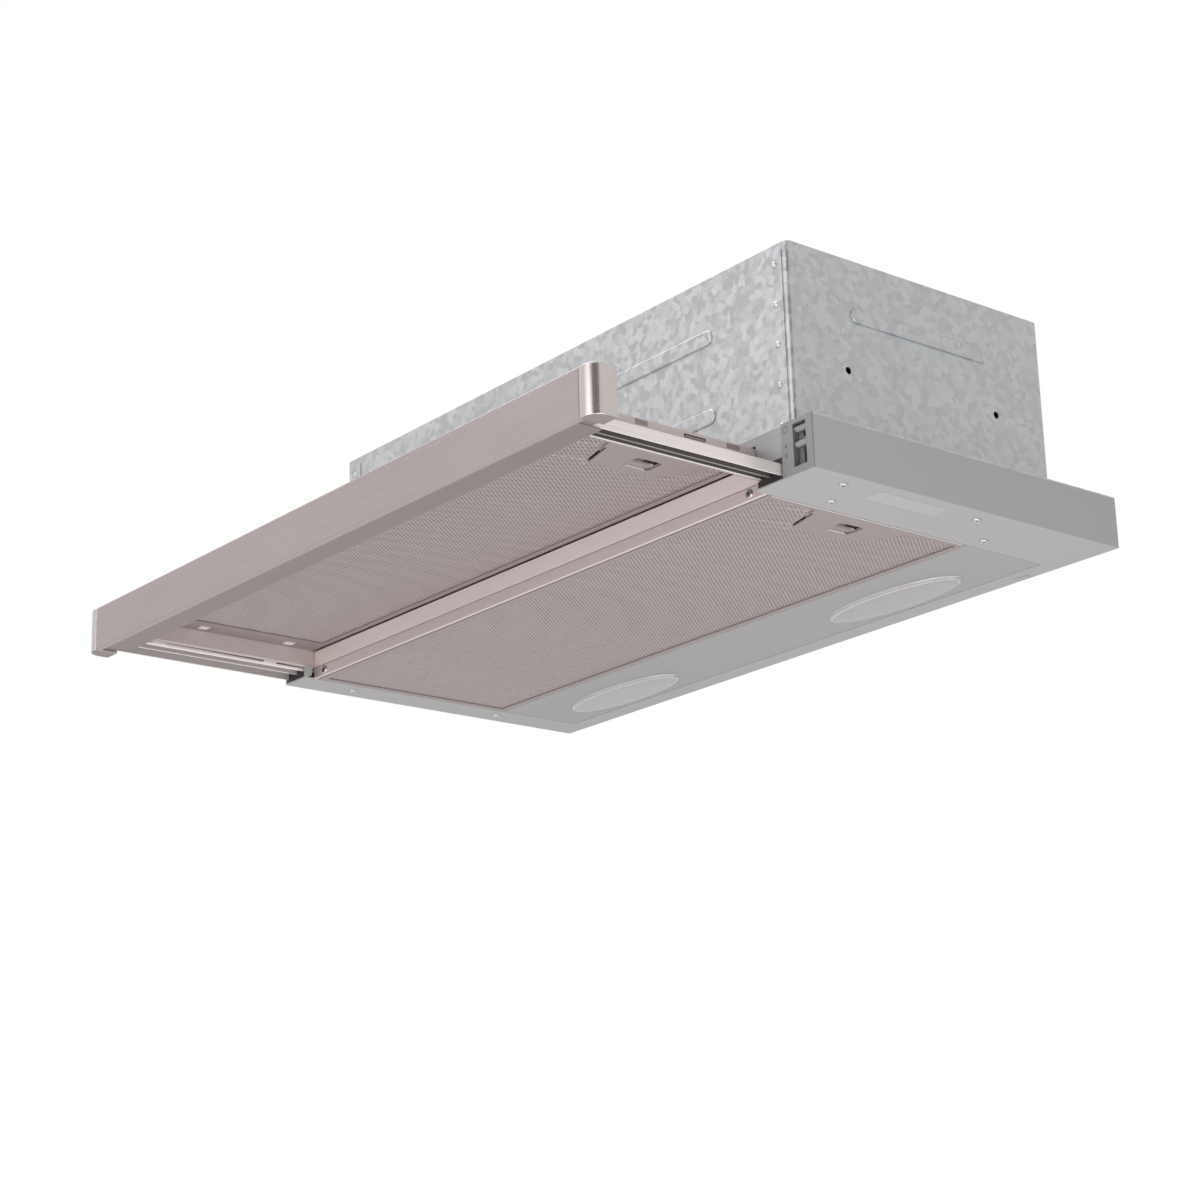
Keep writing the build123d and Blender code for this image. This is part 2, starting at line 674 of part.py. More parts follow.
def scroll_area():
    """Fan scroll in Y and Z round the shaft: three quarter arcs, each wider, and the neck."""
    r1 = FAN_R + SCROLL_GAP
    r2 = r1 + SCROLL_STEP
    r3 = r2 + SCROLL_STEP
    arcs = [
        CenterArc((0, 0), r1, 90, 90),
        CenterArc((SCROLL_STEP, 0), r2, 180, 90),
        CenterArc((SCROLL_STEP, SCROLL_STEP), r3, 270, 90),
    ]
    top = case_top - SHEET - fan_z
    end = arcs[-1] @ 1
    neck = Polyline(end, (end.X, top), (0, top), (0, r1))
    return make_face([*arcs, *neck.edges()])


def make_volutes():
    """Two halves of the fan housing, parted on the middle plane of the wheel."""
    half, wall = SCROLL_W / 2, SCROLL_WALL
    outer = along_x(scroll_area(), -half, half)
    inner = along_x(offset(scroll_area(), -wall), -half + wall, half - wall)
    neck_y = FAN_R + SCROLL_GAP + 2 * SCROLL_STEP - wall - 1
    neck = slab(-half + wall, half - wall, wall, neck_y, FAN_R, case_h)
    inlets = along_x(Circle(INLET_R), -SCROLL_W, SCROLL_W)
    housing = Pos(0, fan_y, fan_z) * (outer - inner - neck - inlets)
    left = housing & slab(-SCROLL_W, 0, 0, BODY_D, 0, 2 * case_top)
    right = housing & slab(0, SCROLL_W, 0, BODY_D, 0, 2 * case_top)
    return left, right


def make_impeller():
    """Squirrel-cage wheel: bent blades between two rings, on a hub disc."""
    root = FAN_R - BLADE_DEEP
    ring = Circle(FAN_R) - Circle(root - 1)
    wheel = along_x(ring, -FAN_L / 2, -FAN_L / 2 + 2) + along_x(ring, FAN_L / 2 - 2, FAN_L / 2)
    wheel += along_x(Circle(FAN_R - 1) - Circle(SHAFT_R), -1, 1)
    wheel += along_x(Circle(3 * SHAFT_R) - Circle(SHAFT_R), -2 * SHAFT_R, 2 * SHAFT_R)
    turn = radians(BLADE_LEAN)
    tip = FAN_R - BLADE_T
    line = [(root, 0), (root + BLADE_DEEP / 2, 1), (tip * cos(turn), tip * sin(turn))]
    blade = along_x(folded(line, BLADE_T), -FAN_L / 2 + 1, FAN_L / 2 - 1)
    for i in range(BLADES):
        wheel += Rot(360 / BLADES * i, 0, 0) * blade
    return Pos(0, fan_y, fan_z) * wheel


def make_fan_shaft():
    length = motor_x0 + MOTOR_L / 2 + FAN_L / 2
    shaft = Rot(0, 90, 0) * Cylinder(SHAFT_R, length)
    shaft = chamfer(shaft.edges(), 0.8)
    return Pos(-FAN_L / 2 + length / 2, fan_y, fan_z) * shaft


def make_motor():
    """Motor can with tapered end shields and a bearing boss at each end."""
    r, l = MOTOR_R, MOTOR_L
    bore = SHAFT_R + SLIP
    shield = [(bore, 0), (bore * 2, 0), (bore * 2, bore), (r, SHIELD_L)]
    line = shield + [(x, l - z) for x, z in reversed(shield)]
    return Pos(motor_x0, fan_y, fan_z) * Rot(0, 90, 0) * revolve(Plane.XZ * outline(*line), Axis.Z)


def make_motor_bracket():
    """Sheet spider that carries the motor in front of the fan's right inlet."""
    rim = MOTOR_R + SPIDER_RIM
    seat = SCROLL_W / 2
    clamp_x = motor_x0 + SHIELD_L
    clamp = Circle(MOTOR_R + 1.5 * SPIDER_T) - Circle(MOTOR_R)
    spider = along_x(Circle(rim + SPIDER_T) - Circle(rim - 2 * SPIDER_T), seat, seat + SPIDER_T)
    for turn in (30, 150, 270):
        arm = area(MOTOR_R + SPIDER_T / 2, rim + SPIDER_T / 2, -SPIDER_ARM / 2, SPIDER_ARM / 2)
        leg = area(rim - SPIDER_T / 2, rim + SPIDER_T / 2, -SPIDER_ARM / 2, SPIDER_ARM / 2)
        clamp += Rot(0, 0, turn) * arm
        spider += along_x(Rot(0, 0, turn) * leg, seat, clamp_x + SPIDER_T)
    spider += along_x(clamp, clamp_x, clamp_x + SPIDER_T)
    return Pos(0, fan_y, fan_z) * spider


def make_motor_box():
    """Folded casing of the fan, open below, that stands on its two feet."""
    x, y0, y1 = CASE_W / 2, CASE_FRONT, case_rear
    box = slab(-x, x, y0, y1, deck_z, case_top)
    box = fillet(box.edges().filter_by(Axis.Z), CASE_R)
    room = slab(-x + SHEET, x - SHEET, y0 + SHEET, y1 - SHEET, 0, case_top - SHEET)
    box -= fillet(room.edges().filter_by(Axis.Z), CASE_R - SHEET)
    box -= drill(0, spigot_y, case_top - 5, case_top + 5, SPIGOT_R - SPIGOT_WALL)
    box -= drill(gland_x, gland_y, case_top - 5, case_top + 5, GLAND_R - 3)
    for px, py in spigot_screw_places:
        box -= drill(px, py, case_top - 5, case_top + 5, SCREW_R)
    for y in side_hole_y:
        place = Pos(0, y, BODY_H + SIDE_HOLE_UP)
        box -= place * Rot(0, 90, 0) * Cylinder(SIDE_HOLE_D / 2, CASE_W + 10)
    return box


def make_casing_feet():
    """Angles inside the casing's ends; their flat legs carry it and are screwed under the deck."""
    inner = CASE_W / 2 - 2 * SHEET
    low = deck_z - SHEET
    line = [(inner, low + FOOT_UP), (inner, low), (CASE_W / 2 + CASE_FLANGE, low)]
    reach = CASE_R + SHEET
    foot = along_y(folded(line, SHEET), CASE_FRONT + reach, case_rear - reach)
    for x, y in box_screw_places:
        foot -= drill(x, y, 0, BODY_H, SCREW_R + SCREW_SLIP)
    return [foot, mirror(foot, about=Plane.YZ)]


def make_box_screws():
    return [Pos(x, y, deck_z - SHEET) * screw(2 * SHEET - 0.2) for x, y in box_screw_places]


def make_spigot_screws():
    turned = Rot(180, 0, 0) * screw(SPIGOT_WALL + SHEET)
    return [Pos(x, y, case_top + SPIGOT_WALL) * turned for x, y in spigot_screw_places]


def make_outlet_spigot():
    """Duct collar with its flange and the pivot holes of the two flaps."""
    tube = along_z(Circle(SPIGOT_R) - Circle(SPIGOT_R - SPIGOT_WALL), case_top, case_top + SPIGOT_H)
    ring = Circle(SPIGOT_R + SPIGOT_FLANGE) - Circle(SPIGOT_R - SPIGOT_WALL)
    collar = Pos(0, spigot_y, 0) * (tube + along_z(ring, case_top, case_top + SPIGOT_WALL))
    for x, y in spigot_screw_places:
        collar -= drill(x, y, case_top - 1, case_top + 5, SCREW_R + SCREW_SLIP)
    for s in (1, -1):
        place = Pos(0, spigot_y + s * 2 * PIN_R, flap_z)
        collar -= place * Rot(0, 90, 0) * Cylinder(PIN_R + 0.2, 3 * SPIGOT_R)
    return collar


def make_flap(s):
    """Half-round valve flap with its pivot pin, lying closed."""
    r = SPIGOT_R - SPIGOT_WALL - 1
    pin_y = s * 2 * PIN_R
    disc = Circle(r) & area(-r, r, *sorted((pin_y, s * r)))
    flap = along_z(disc, flap_z - FLAP_T / 2, flap_z + FLAP_T / 2)
    knuckle = Pos(0, pin_y, flap_z) * Rot(0, 90, 0) * Cylinder(PIN_R, 2 * (SPIGOT_R - 1))
    return Pos(0, spigot_y, 0) * (flap + knuckle)


def make_terminal_box():
    """Moulded junction box under the top of the casing, below the cable gland."""
    x0, x1 = gland_x - TERMINAL_D / 2, gland_x - TERMINAL_D / 2 + TERMINAL_W
    y0, y1 = gland_y - TERMINAL_D / 2, gland_y + TERMINAL_D / 2
    top = case_top - SHEET
    wall = TERMINAL_WALL
    box = slab(x0, x1, y0, y1, top - TERMINAL_H, top)
    return box - slab(x0 + wall, x1 - wall, y0 + wall, y1 - wall, top - TERMINAL_H + wall, top + 1)


def make_capacitor():
    """Run capacitor hung from the top of the casing beside the junction box."""
    x = gland_x + TERMINAL_W
    can = Pos(x, gland_y, case_top - SHEET - CAPACITOR_L / 2) * Cylinder(CAPACITOR_R, CAPACITOR_L)
    return chamfer(can.edges().group_by(Axis.Z)[0], 1.5)


def make_cable_gland():
    """Gland with its nut body on the casing and a threaded end below."""
    r, bore, neck = GLAND_R, GLAND_BORE_R, GLAND_R - 3
    below = [(bore, -GLAND_DOWN), (neck, -GLAND_DOWN), (neck, 0), (r + 2, 0), (r + 2, 5)]
    above = [(r, 6), (r - 2, GLAND_UP), (bore, GLAND_UP)]
    section = Plane.XZ * outline(*below, *above)
    return Pos(gland_x, gland_y, case_top) * revolve(section, Axis.Z)


def make_microswitch():
    """Tray switch on the right channel's wall, behind the rear pad's last place."""
    front = stop_y + PLUNGER_OUT
    z0, z1 = stop_z - STOP_H / 2, stop_z + STOP_H / 2
    body = slab(stop_x - STOP_W, stop_x, front, front + STOP_D, z0, z1)
    place = Pos(stop_x - STOP_W / 2, front, stop_z)
    return body - place * Rot(90, 0, 0) * Cylinder(PLUNGER_R + 0.1, STOP_D + 6)


def make_switch_plunger():
    place = Pos(stop_x - STOP_W / 2, stop_y + PLUNGER_OUT, stop_z)
    stem = place * Rot(90, 0, 0) * Cylinder(PLUNGER_R, 2 * PLUNGER_OUT)
    return chamfer(stem.edges().group_by(Axis.Y)[0], 0.6)


filter_frame, filter_mesh, filter_latch = filter_pieces(
    filter_left, filter_right, filter_front, filter_rear, 0, FILTER_H,
    FILTER_BORDER, FILTER_BORDER, filter_right, FILTER_LATCH_Y, HOOK_Y,
)
tray_side = wall_in - SEAT
tray_hook_y = [(y0 + y1) / 2 for y0, y1 in WINDOWS]
tray_filter_frame, tray_filter_mesh, tray_latch = filter_pieces(
    mid_x - tray_side, mid_x + tray_side, TRAY_FILTER_FRONT, BAR_Y - 1, tray_filter_z, TRAY_FILTER_H,
    TRAY_BORDER_LEFT, TRAY_BORDER_RIGHT, mid_x + tray_side - TRAY_BORDER_RIGHT, TRAY_LATCH_Y,
    tray_hook_y,
)
skin_z = tray_filter_z + FILTER_SKIN
roots = [hook_seat(mid_x - tray_side, y, skin_z, skin_z + HOOK_T, SHEET) for y in tray_hook_y]
notches = [hook_seat(mid_x - tray_side, y, tray_filter_z, skin_z) for y in tray_hook_y]
tray_filter_frame = tray_filter_frame - notches + roots
tray_filter_mesh = [sheet - roots for sheet in tray_filter_mesh]
volute_left, volute_right = make_volutes()
end_cap = make_end_cap()
rail = make_tray_rail()
pad = make_rear_pad()
channel = make_slide_channel()
guide = make_front_guide()

pieces = {
    "bottom_plate": make_bottom_plate(),
    "top_deck": make_top_deck(),
    "front_wall": make_front_wall(),
    "front_cross_bar": make_front_cross_bar(),
    "bar_trim": make_bar_trim(),
    "bar_trim_screws": make_bar_trim_screws(),
    "plate_screws": make_plate_screws(),
    "lamp_panel": make_lamp_panel(),
    "lamp_lens_left": make_lens(-1),
    "lamp_lens_right": make_lens(1),
    "lamp_holder_left": make_lamp_holder(-1),
    "lamp_holder_right": make_lamp_holder(1),
    "lamp_bulb_left": make_lamp_bulb(-1),
    "lamp_bulb_right": make_lamp_bulb(1),
    "switch_plate": make_switch_plate(),
    "switch_blocks": make_switch_blocks(),
    "control_box": make_control_box(),
    "slide_channel_left": to_left(channel),
    "slide_channel_right": channel,
    "front_guide_left": to_left(guide),
    "front_guide_right": guide,
    "motor_box": make_motor_box(),
    "casing_feet": make_casing_feet(),
    "box_screws": make_box_screws(),
    "volute_left": volute_left,
    "volute_right": volute_right,
    "motor": make_motor(),
    "motor_bracket": make_motor_bracket(),
    "outlet_spigot": make_outlet_spigot(),
    "spigot_screws": make_spigot_screws(),
    "terminal_box": make_terminal_box(),
    "capacitor": make_capacitor(),
    "cable_gland": make_cable_gland(),
    "microswitch": make_microswitch(),
    "tray_cover": make_tray_cover(),
    "fascia": make_fascia(),
    "end_cap_left": mirror(end_cap, about=Plane.YZ),
    "end_cap_right": end_cap,
    "grip_strip": make_grip_strip(),
    "tray_rail_left": to_left(rail),
    "tray_rail_right": rail,
    "rear_pad_left": to_left(pad),
    "rear_pad_right": pad,
    "fascia_screws": make_fascia_screws(),
    "tray_filter_frame": tray_filter_frame,
    "tray_filter_mesh": tray_filter_mesh,
    "tray_latch": tray_latch,
    "filter_frame": filter_frame,
    "filter_mesh": filter_mesh,
    "filter_latch": filter_latch,
    "light_slider": make_slider(light_z),
    "speed_slider": make_slider(speed_z),
    "impeller": make_impeller(),
    "fan_shaft": make_fan_shaft(),
    "flap_front": make_flap(-1),
    "flap_rear": make_flap(1),
    "switch_plunger": make_switch_plunger(),
}

os.makedirs("parts", exist_ok=True)
to_frame = Pos(0, -BODY_D, -BODY_H)
for name, piece in pieces.items():
    solids = piece if isinstance(piece, list) else [piece]
    placed = [to_frame * solid for item in solids for solid in item.solids()]
    node = Compound(children=placed) if len(placed) > 1 else placed[0]
    export_step(node, f"parts/{name}.step")
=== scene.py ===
"""Slide-out range hood with its filter tray pulled out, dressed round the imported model."""
import bmesh
import bpy
from math import pi, radians
from mathutils import Matrix, Vector


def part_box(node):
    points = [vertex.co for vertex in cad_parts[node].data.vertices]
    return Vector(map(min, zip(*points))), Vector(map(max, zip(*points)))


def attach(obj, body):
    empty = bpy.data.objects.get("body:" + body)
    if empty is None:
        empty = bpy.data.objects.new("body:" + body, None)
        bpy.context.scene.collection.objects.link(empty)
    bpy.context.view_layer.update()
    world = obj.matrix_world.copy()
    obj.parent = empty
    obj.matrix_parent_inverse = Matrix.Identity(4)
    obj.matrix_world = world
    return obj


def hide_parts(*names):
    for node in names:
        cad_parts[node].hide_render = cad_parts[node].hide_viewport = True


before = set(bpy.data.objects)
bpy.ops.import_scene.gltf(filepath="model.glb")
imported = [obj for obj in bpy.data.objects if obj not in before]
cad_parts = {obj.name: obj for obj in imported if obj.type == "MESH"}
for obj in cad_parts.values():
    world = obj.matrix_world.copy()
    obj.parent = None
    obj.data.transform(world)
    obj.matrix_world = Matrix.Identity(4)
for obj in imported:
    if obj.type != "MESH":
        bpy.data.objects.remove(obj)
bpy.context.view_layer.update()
scene = bpy.context.scene
scene.view_settings.view_transform = "Standard"

# Room: an even white surround and a pale floor well below the hood. The surround is white to the
# eye and in reflections, and a little weaker as light.
AMBIENT = 0.56
FLOOR_Z = -1.5
FLOOR_HALF = 60
FLOOR_GLOW = 0.36
FLOOR_PAINT = (0.86, 0.86, 0.86, 1)
MATT = 0.9
world = bpy.data.worlds.new("surround")
scene.world = world
world.use_nodes = True
tree = world.node_tree
path = tree.nodes.new("ShaderNodeLightPath")
seen = tree.nodes.new("ShaderNodeMath")
seen.operation = "ADD"
seen_through = tree.nodes.new("ShaderNodeMath")
seen_through.operation = "ADD"
seen_through.use_clamp = True
level = tree.nodes.new("ShaderNodeMapRange")
level.inputs["To Min"].default_value = AMBIENT
level.inputs["To Max"].default_value = 1.0
tree.links.new(path.outputs["Is Camera Ray"], seen.inputs[0])
tree.links.new(path.outputs["Is Glossy Ray"], seen.inputs[1])
tree.links.new(seen.outputs[0], seen_through.inputs[0])
tree.links.new(path.outputs["Is Transmission Ray"], seen_through.inputs[1])
tree.links.new(seen_through.outputs[0], level.inputs["Value"])
tree.links.new(level.outputs["Result"], tree.nodes["Background"].inputs["Strength"])
tree.nodes["Background"].inputs["Color"].default_value = (1, 1, 1, 1)

ground = bmesh.new()
bmesh.ops.create_grid(ground, x_segments=1, y_segments=1, size=FLOOR_HALF)
bmesh.ops.translate(ground, verts=ground.verts, vec=(0, 0, FLOOR_Z))
floor_mesh = bpy.data.meshes.new("floor")
ground.to_mesh(floor_mesh)
ground.free()
floor = bpy.data.objects.new("floor", floor_mesh)
scene.collection.objects.link(floor)
floor_paint = bpy.data.materials.new("floor paint")
floor_paint.use_nodes = True
floor_nodes, floor_links = floor_paint.node_tree.nodes, floor_paint.node_tree.links
floor_nodes["Principled BSDF"].inputs["Base Color"].default_value = FLOOR_PAINT
floor_nodes["Principled BSDF"].inputs["Roughness"].default_value = MATT
side = floor_nodes.new("ShaderNodeNewGeometry")
clear = floor_nodes.new("ShaderNodeBsdfTransparent")
either = floor_nodes.new("ShaderNodeMixShader")
floor_links.new(side.outputs["Backfacing"], either.inputs[0])
floor_links.new(floor_nodes["Principled BSDF"].outputs[0], either.inputs[1])
floor_links.new(clear.outputs[0], either.inputs[2])
floor_links.new(either.outputs[0], floor_nodes["Material Output"].inputs["Surface"])
eye = floor_nodes.new("ShaderNodeLightPath")
seen_floor = floor_nodes.new("ShaderNodeMath")
seen_floor.operation = "ADD"
seen_floor.use_clamp = True
glow = floor_nodes.new("ShaderNodeMath")
glow.operation = "MULTIPLY"
glow.inputs[1].default_value = FLOOR_GLOW
floor_links.new(eye.outputs["Is Camera Ray"], seen_floor.inputs[0])
floor_links.new(eye.outputs["Is Glossy Ray"], seen_floor.inputs[1])
floor_links.new(seen_floor.outputs[0], glow.inputs[0])
floor_links.new(glow.outputs[0], floor_nodes["Principled BSDF"].inputs["Emission Strength"])
floor_mesh.materials.append(floor_paint)

# Lamps: three large soft panels, one in front, one over the hood and one below its filters. They
# all point at the middle of the hood.
HOOD_MIDDLE = Vector((0, -0.2, 0.02))
for name, place, size, watts in (
    ("front lamp", (0.25, -2.4, -0.1), 1.6, 27),
    ("top lamp", (-0.8, -0.6, 2.2), 1.8, 40),
    ("low lamp", (0.95, -0.55, -0.85), 1.0, 6.5),
):
    lamp = bpy.data.lights.new(name, "AREA")
    lamp.size = size
    lamp.energy = watts
    panel = bpy.data.objects.new(name, lamp)
    panel.location = place
    panel.rotation_euler = (HOOD_MIDDLE - Vector(place)).to_track_quat("-Z", "Y").to_euler()
    panel.visible_camera = False
    scene.collection.objects.link(panel)

# Card: a dark upright panel behind the camera, which gives polished corners something to reflect.
# The camera itself doesn't see it.
CARD_AT = Vector((2.1, -2.7, 0.8))
CARD_HALF = (1.7, 1.5, 1)
CARD_PAINT = (0.17, 0.16, 0.155, 1)
card_mesh = bpy.data.meshes.new("card")
card_sheet = bmesh.new()
bmesh.ops.create_grid(card_sheet, x_segments=1, y_segments=1, size=1)
bmesh.ops.scale(card_sheet, verts=card_sheet.verts, vec=CARD_HALF)
facing = (HOOD_MIDDLE - CARD_AT).to_track_quat("Z", "Y").to_matrix().to_4x4()
bmesh.ops.transform(card_sheet, verts=card_sheet.verts, matrix=Matrix.Translation(CARD_AT) @ facing)
card_sheet.to_mesh(card_mesh)
card_sheet.free()
card = bpy.data.objects.new("card", card_mesh)
card.visible_camera = False
card.visible_shadow = False
card.visible_diffuse = False
scene.collection.objects.link(card)
card_paint = bpy.data.materials.new("card paint")
card_paint.use_nodes = True
card_shader = card_paint.node_tree.nodes["Principled BSDF"]
card_shader.inputs["Base Color"].default_value = CARD_PAINT
card_shader.inputs["Roughness"].default_value = MATT
card_mesh.materials.append(card_paint)

# Camera: below the right front corner, looking up under the hood through a long lens.
# TO_RIGHT and AHEAD are the directions of the picture's width and of the view.
EYE = Vector((1.37957, -1.34192, -0.58303))
TO_RIGHT = Vector((0.6279, 0.7778, -0.0281))
AHEAD = Vector((-0.7382, 0.6066, 0.2952))
SENSOR = 36
FOCAL = 78.905
lens = bpy.data.cameras.new("camera")
lens.sensor_width = SENSOR
lens.lens = FOCAL
camera = bpy.data.objects.new("camera", lens)
turn = Matrix((TO_RIGHT, TO_RIGHT.cross(AHEAD), -AHEAD)).transposed()
camera.matrix_world = Matrix.Translation(EYE) @ turn.to_4x4()
scene.collection.objects.link(camera)
scene.camera = camera

# Bottom plate: a folded steel pan, sprayed light grey. Its turned-up edges close the hood's sides,
# and its opening takes the fixed filter and the lamp panel.
GREY_PAINT = ((0.335, 0.325, 0.325), (0.373, 0.362, 0.362))
PLATE_EDGE = 0.00025
SPRAY = 1400
CLOUDS = (14, 14, 14)
MASK_LOW = 0.3
MASK_HIGH = 0.7
COAT_ROUGH = 0.25
RELIEF = 0.0004
WELD = 1e-6
FLAT = radians(0.5)
FOLD = radians(35)
CREASE = radians(32)


def pattern_group(name, texture, output, detail):
    """Group that lays one texture over object space, stretched, and gives it as a mask."""
    group = bpy.data.node_groups.new(name, "ShaderNodeTree")
    stretch = group.interface.new_socket("Stretch", in_out="INPUT", socket_type="NodeSocketVector")
    stretch.default_value = (1, 1, 1)
    group.interface.new_socket("Mask", in_out="OUTPUT", socket_type="NodeSocketFloat")
    nodes, links = group.nodes, group.links
    place = nodes.new("ShaderNodeTexCoord")
    scaled = nodes.new("ShaderNodeVectorMath")
    scaled.operation = "MULTIPLY"
    pattern = nodes.new(texture)
    pattern.inputs["Scale"].default_value = 1
    pattern.inputs["Detail"].default_value = detail
    entry, leave = nodes.new("NodeGroupInput"), nodes.new("NodeGroupOutput")
    links.new(place.outputs["Object"], scaled.inputs[0])
    links.new(entry.outputs["Stretch"], scaled.inputs[1])
    links.new(scaled.outputs[0], pattern.inputs["Vector"])
    links.new(pattern.outputs[output], leave.inputs["Mask"])
    return group


def finish(name, group, stretch, colours, roughness, bump, metallic=0.0, coat=0.0, cloud=0.15):
    """Material whose colour, roughness and relief follow a fine pattern and a broad, cloudy one.

    The stretch is one number for an even pattern, or three for a grain along one axis.
    """
    material = bpy.data.materials.new(name)
    material.use_nodes = True
    nodes, links = material.node_tree.nodes, material.node_tree.links
    shader = nodes["Principled BSDF"]
    shader.inputs["Metallic"].default_value = metallic
    shader.inputs["Coat Weight"].default_value = coat
    shader.inputs["Coat Roughness"].default_value = COAT_ROUGH
    fine = nodes.new("ShaderNodeGroup")
    fine.node_tree = group
    fine.inputs["Stretch"].default_value = stretch if isinstance(stretch, tuple) else [stretch] * 3
    broad = nodes.new("ShaderNodeGroup")
    broad.node_tree = grain
    broad.inputs["Stretch"].default_value = CLOUDS
    # A mix node has sockets of the same name for each type, so they are taken by number.
    both = nodes.new("ShaderNodeMix")
    both.inputs[0].default_value = cloud
    links.new(fine.outputs["Mask"], both.inputs[2])
    links.new(broad.outputs["Mask"], both.inputs[3])
    sharper = nodes.new("ShaderNodeMapRange")
    sharper.inputs["From Min"].default_value = MASK_LOW
    sharper.inputs["From Max"].default_value = MASK_HIGH
    links.new(both.outputs[0], sharper.inputs["Value"])
    colour = nodes.new("ShaderNodeMix")
    colour.data_type = "RGBA"
    colour.inputs[6].default_value = (*colours[0], 1)
    colour.inputs[7].default_value = (*colours[1], 1)
    links.new(sharper.outputs["Result"], colour.inputs[0])
    links.new(colour.outputs[2], shader.inputs["Base Color"])
    rough = nodes.new("ShaderNodeMapRange")
    rough.inputs["To Min"].default_value, rough.inputs["To Max"].default_value = roughness
    links.new(sharper.outputs["Result"], rough.inputs["Value"])
    links.new(rough.outputs["Result"], shader.inputs["Roughness"])
    relief = nodes.new("ShaderNodeBump")
    relief.inputs["Strength"].default_value = bump
    relief.inputs["Distance"].default_value = RELIEF
    links.new(fine.outputs["Mask"], relief.inputs["Height"])
    links.new(relief.outputs["Normal"], shader.inputs["Normal"])
    return material


def rounded(mesh, edges, width, segments=2):
    """Edges of a mesh, rounded to a width."""
    bmesh.ops.bevel(
        mesh, geom=edges, offset=width, offset_type="OFFSET", affect="EDGES", segments=segments,
        profile=0.5, material=-1, clamp_overlap=True,
    )


def folds(mesh):
    """Edges of a mesh where two faces meet at a clear angle."""
    return [e for e in mesh.edges if len(e.link_faces) == 2 and e.calc_face_angle() > FOLD]


def plain(node):
    """Welded copy of a node's mesh with its flat triangles joined."""
    mesh = bmesh.new()
    mesh.from_mesh(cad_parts[node].data)
    bmesh.ops.remove_doubles(mesh, verts=mesh.verts, dist=WELD)
    bmesh.ops.dissolve_limit(mesh, angle_limit=FLAT, verts=mesh.verts, edges=mesh.edges)
    return mesh


def softened(node, width, segments=2):
    """Plain copy of a node's mesh with its folds rounded."""
    mesh = plain(node)
    rounded(mesh, folds(mesh), width, segments)
    return mesh


def piece(name, mesh, body, slot, material, *nodes):
    """Object made from a mesh, riding on a body in place of the nodes."""
    data = bpy.data.meshes.new(name)
    mesh.to_mesh(data)
    mesh.free()
    data.shade_smooth()
    data.set_sharp_from_angle(angle=CREASE)
    for each in material if isinstance(material, list) else [material]:
        data.materials.append(each)
    made = bpy.data.objects.new(name, data)
    scene.collection.objects.link(made)
    made.modifiers.new("even normals", "WEIGHTED_NORMAL").keep_sharp = True
    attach(made, body)
    if nodes:
        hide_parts(*nodes)


grain = pattern_group("grain", "ShaderNodeTexNoise", "Fac", 3)
paint = finish(
    "light grey paint", grain, SPRAY, GREY_PAINT, roughness=(0.42, 0.55), bump=0.08, coat=0.15,
)
pan = softened("bottom_plate", PLATE_EDGE)
piece("bottom_plate_sheet", pan, "hood", "body_paint", paint, "bottom_plate")

# Lamp panel: a flat strip of the same sheet behind the filter. Its paint is a darker copy of the
# plate's, a painted shade for the light falling off towards the back. Its two openings are closed
# here, since the lenses lie over them.
UPRIGHT = 0.1
PANEL_SHADE_PAINT = ((0.288, 0.280, 0.281), (0.321, 0.312, 0.313))
panel_shade_paint = finish(
    "panel paint with painted shade", grain, SPRAY, PANEL_SHADE_PAINT, roughness=(0.42, 0.55), bump=0.08, coat=0.15,
)
panel = plain("lamp_panel")
panel.normal_update()
openings = []
for face in panel.faces:
    place = face.calc_center_median()
    for low, high in (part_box("lamp_lens_left"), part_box("lamp_lens_right")):
        under_lens = low.x < place.x < high.x and low.y < place.y < high.y
        if under_lens and abs(face.normal.z) < UPRIGHT:
            openings.append(face)
bmesh.ops.delete(panel, geom=openings, context="FACES")
bmesh.ops.holes_fill(panel, edges=[e for e in panel.edges if len(e.link_faces) == 1], sides=0)
bmesh.ops.recalc_face_normals(panel, faces=panel.faces)
bmesh.ops.dissolve_limit(panel, angle_limit=FLAT, verts=panel.verts, edges=panel.edges)
rounded(panel, folds(panel), PLATE_EDGE)
piece("lamp_panel_sheet", panel, "hood", "body_paint", panel_shade_paint, "lamp_panel")

# Front wall: a strip of the same painted sheet folded back under the deck, above the tray's slot.
# It is glossier and a little uneven, and catches the light.
WALL_PAINT = ((0.26, 0.255, 0.262), (0.34, 0.333, 0.342))
wall_paint = finish(
    "front wall paint", grain, 900, WALL_PAINT,
    roughness=(0.25, 0.45), bump=0.05, metallic=0.2, coat=0.3, cloud=0.6,
)
wall = softened("front_wall", PLATE_EDGE)
piece("front_wall_sheet", wall, "hood", "body_paint", wall_paint, "front_wall")

# Deck, channels and casing: zinc-coated sheet with a fine spangle. The deck closes the low body,
# and the casing stands on two angles screwed under it.
ZINC = ((0.40, 0.41, 0.42), (0.50, 0.51, 0.52))
SPANGLE = 210
ZINC_EDGE = 0.0003
spangle = pattern_group("spangle", "ShaderNodeTexVoronoi", "Color", 0)
zinc = finish(
    "zinc sheet", spangle, SPANGLE, ZINC, roughness=(0.34, 0.5), bump=0.0, metallic=0.75, cloud=0.3,
)
for node in ("top_deck", "motor_box", "slide_channel_left", "slide_channel_right"):
    piece(node + "_sheet", softened(node, ZINC_EDGE), "hood", "galvanised", zinc, node)
for node in ("casing_feet", "volute_left", "volute_right", "motor_bracket"):
    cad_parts[node].data.materials.clear()
    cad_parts[node].data.materials.append(zinc)

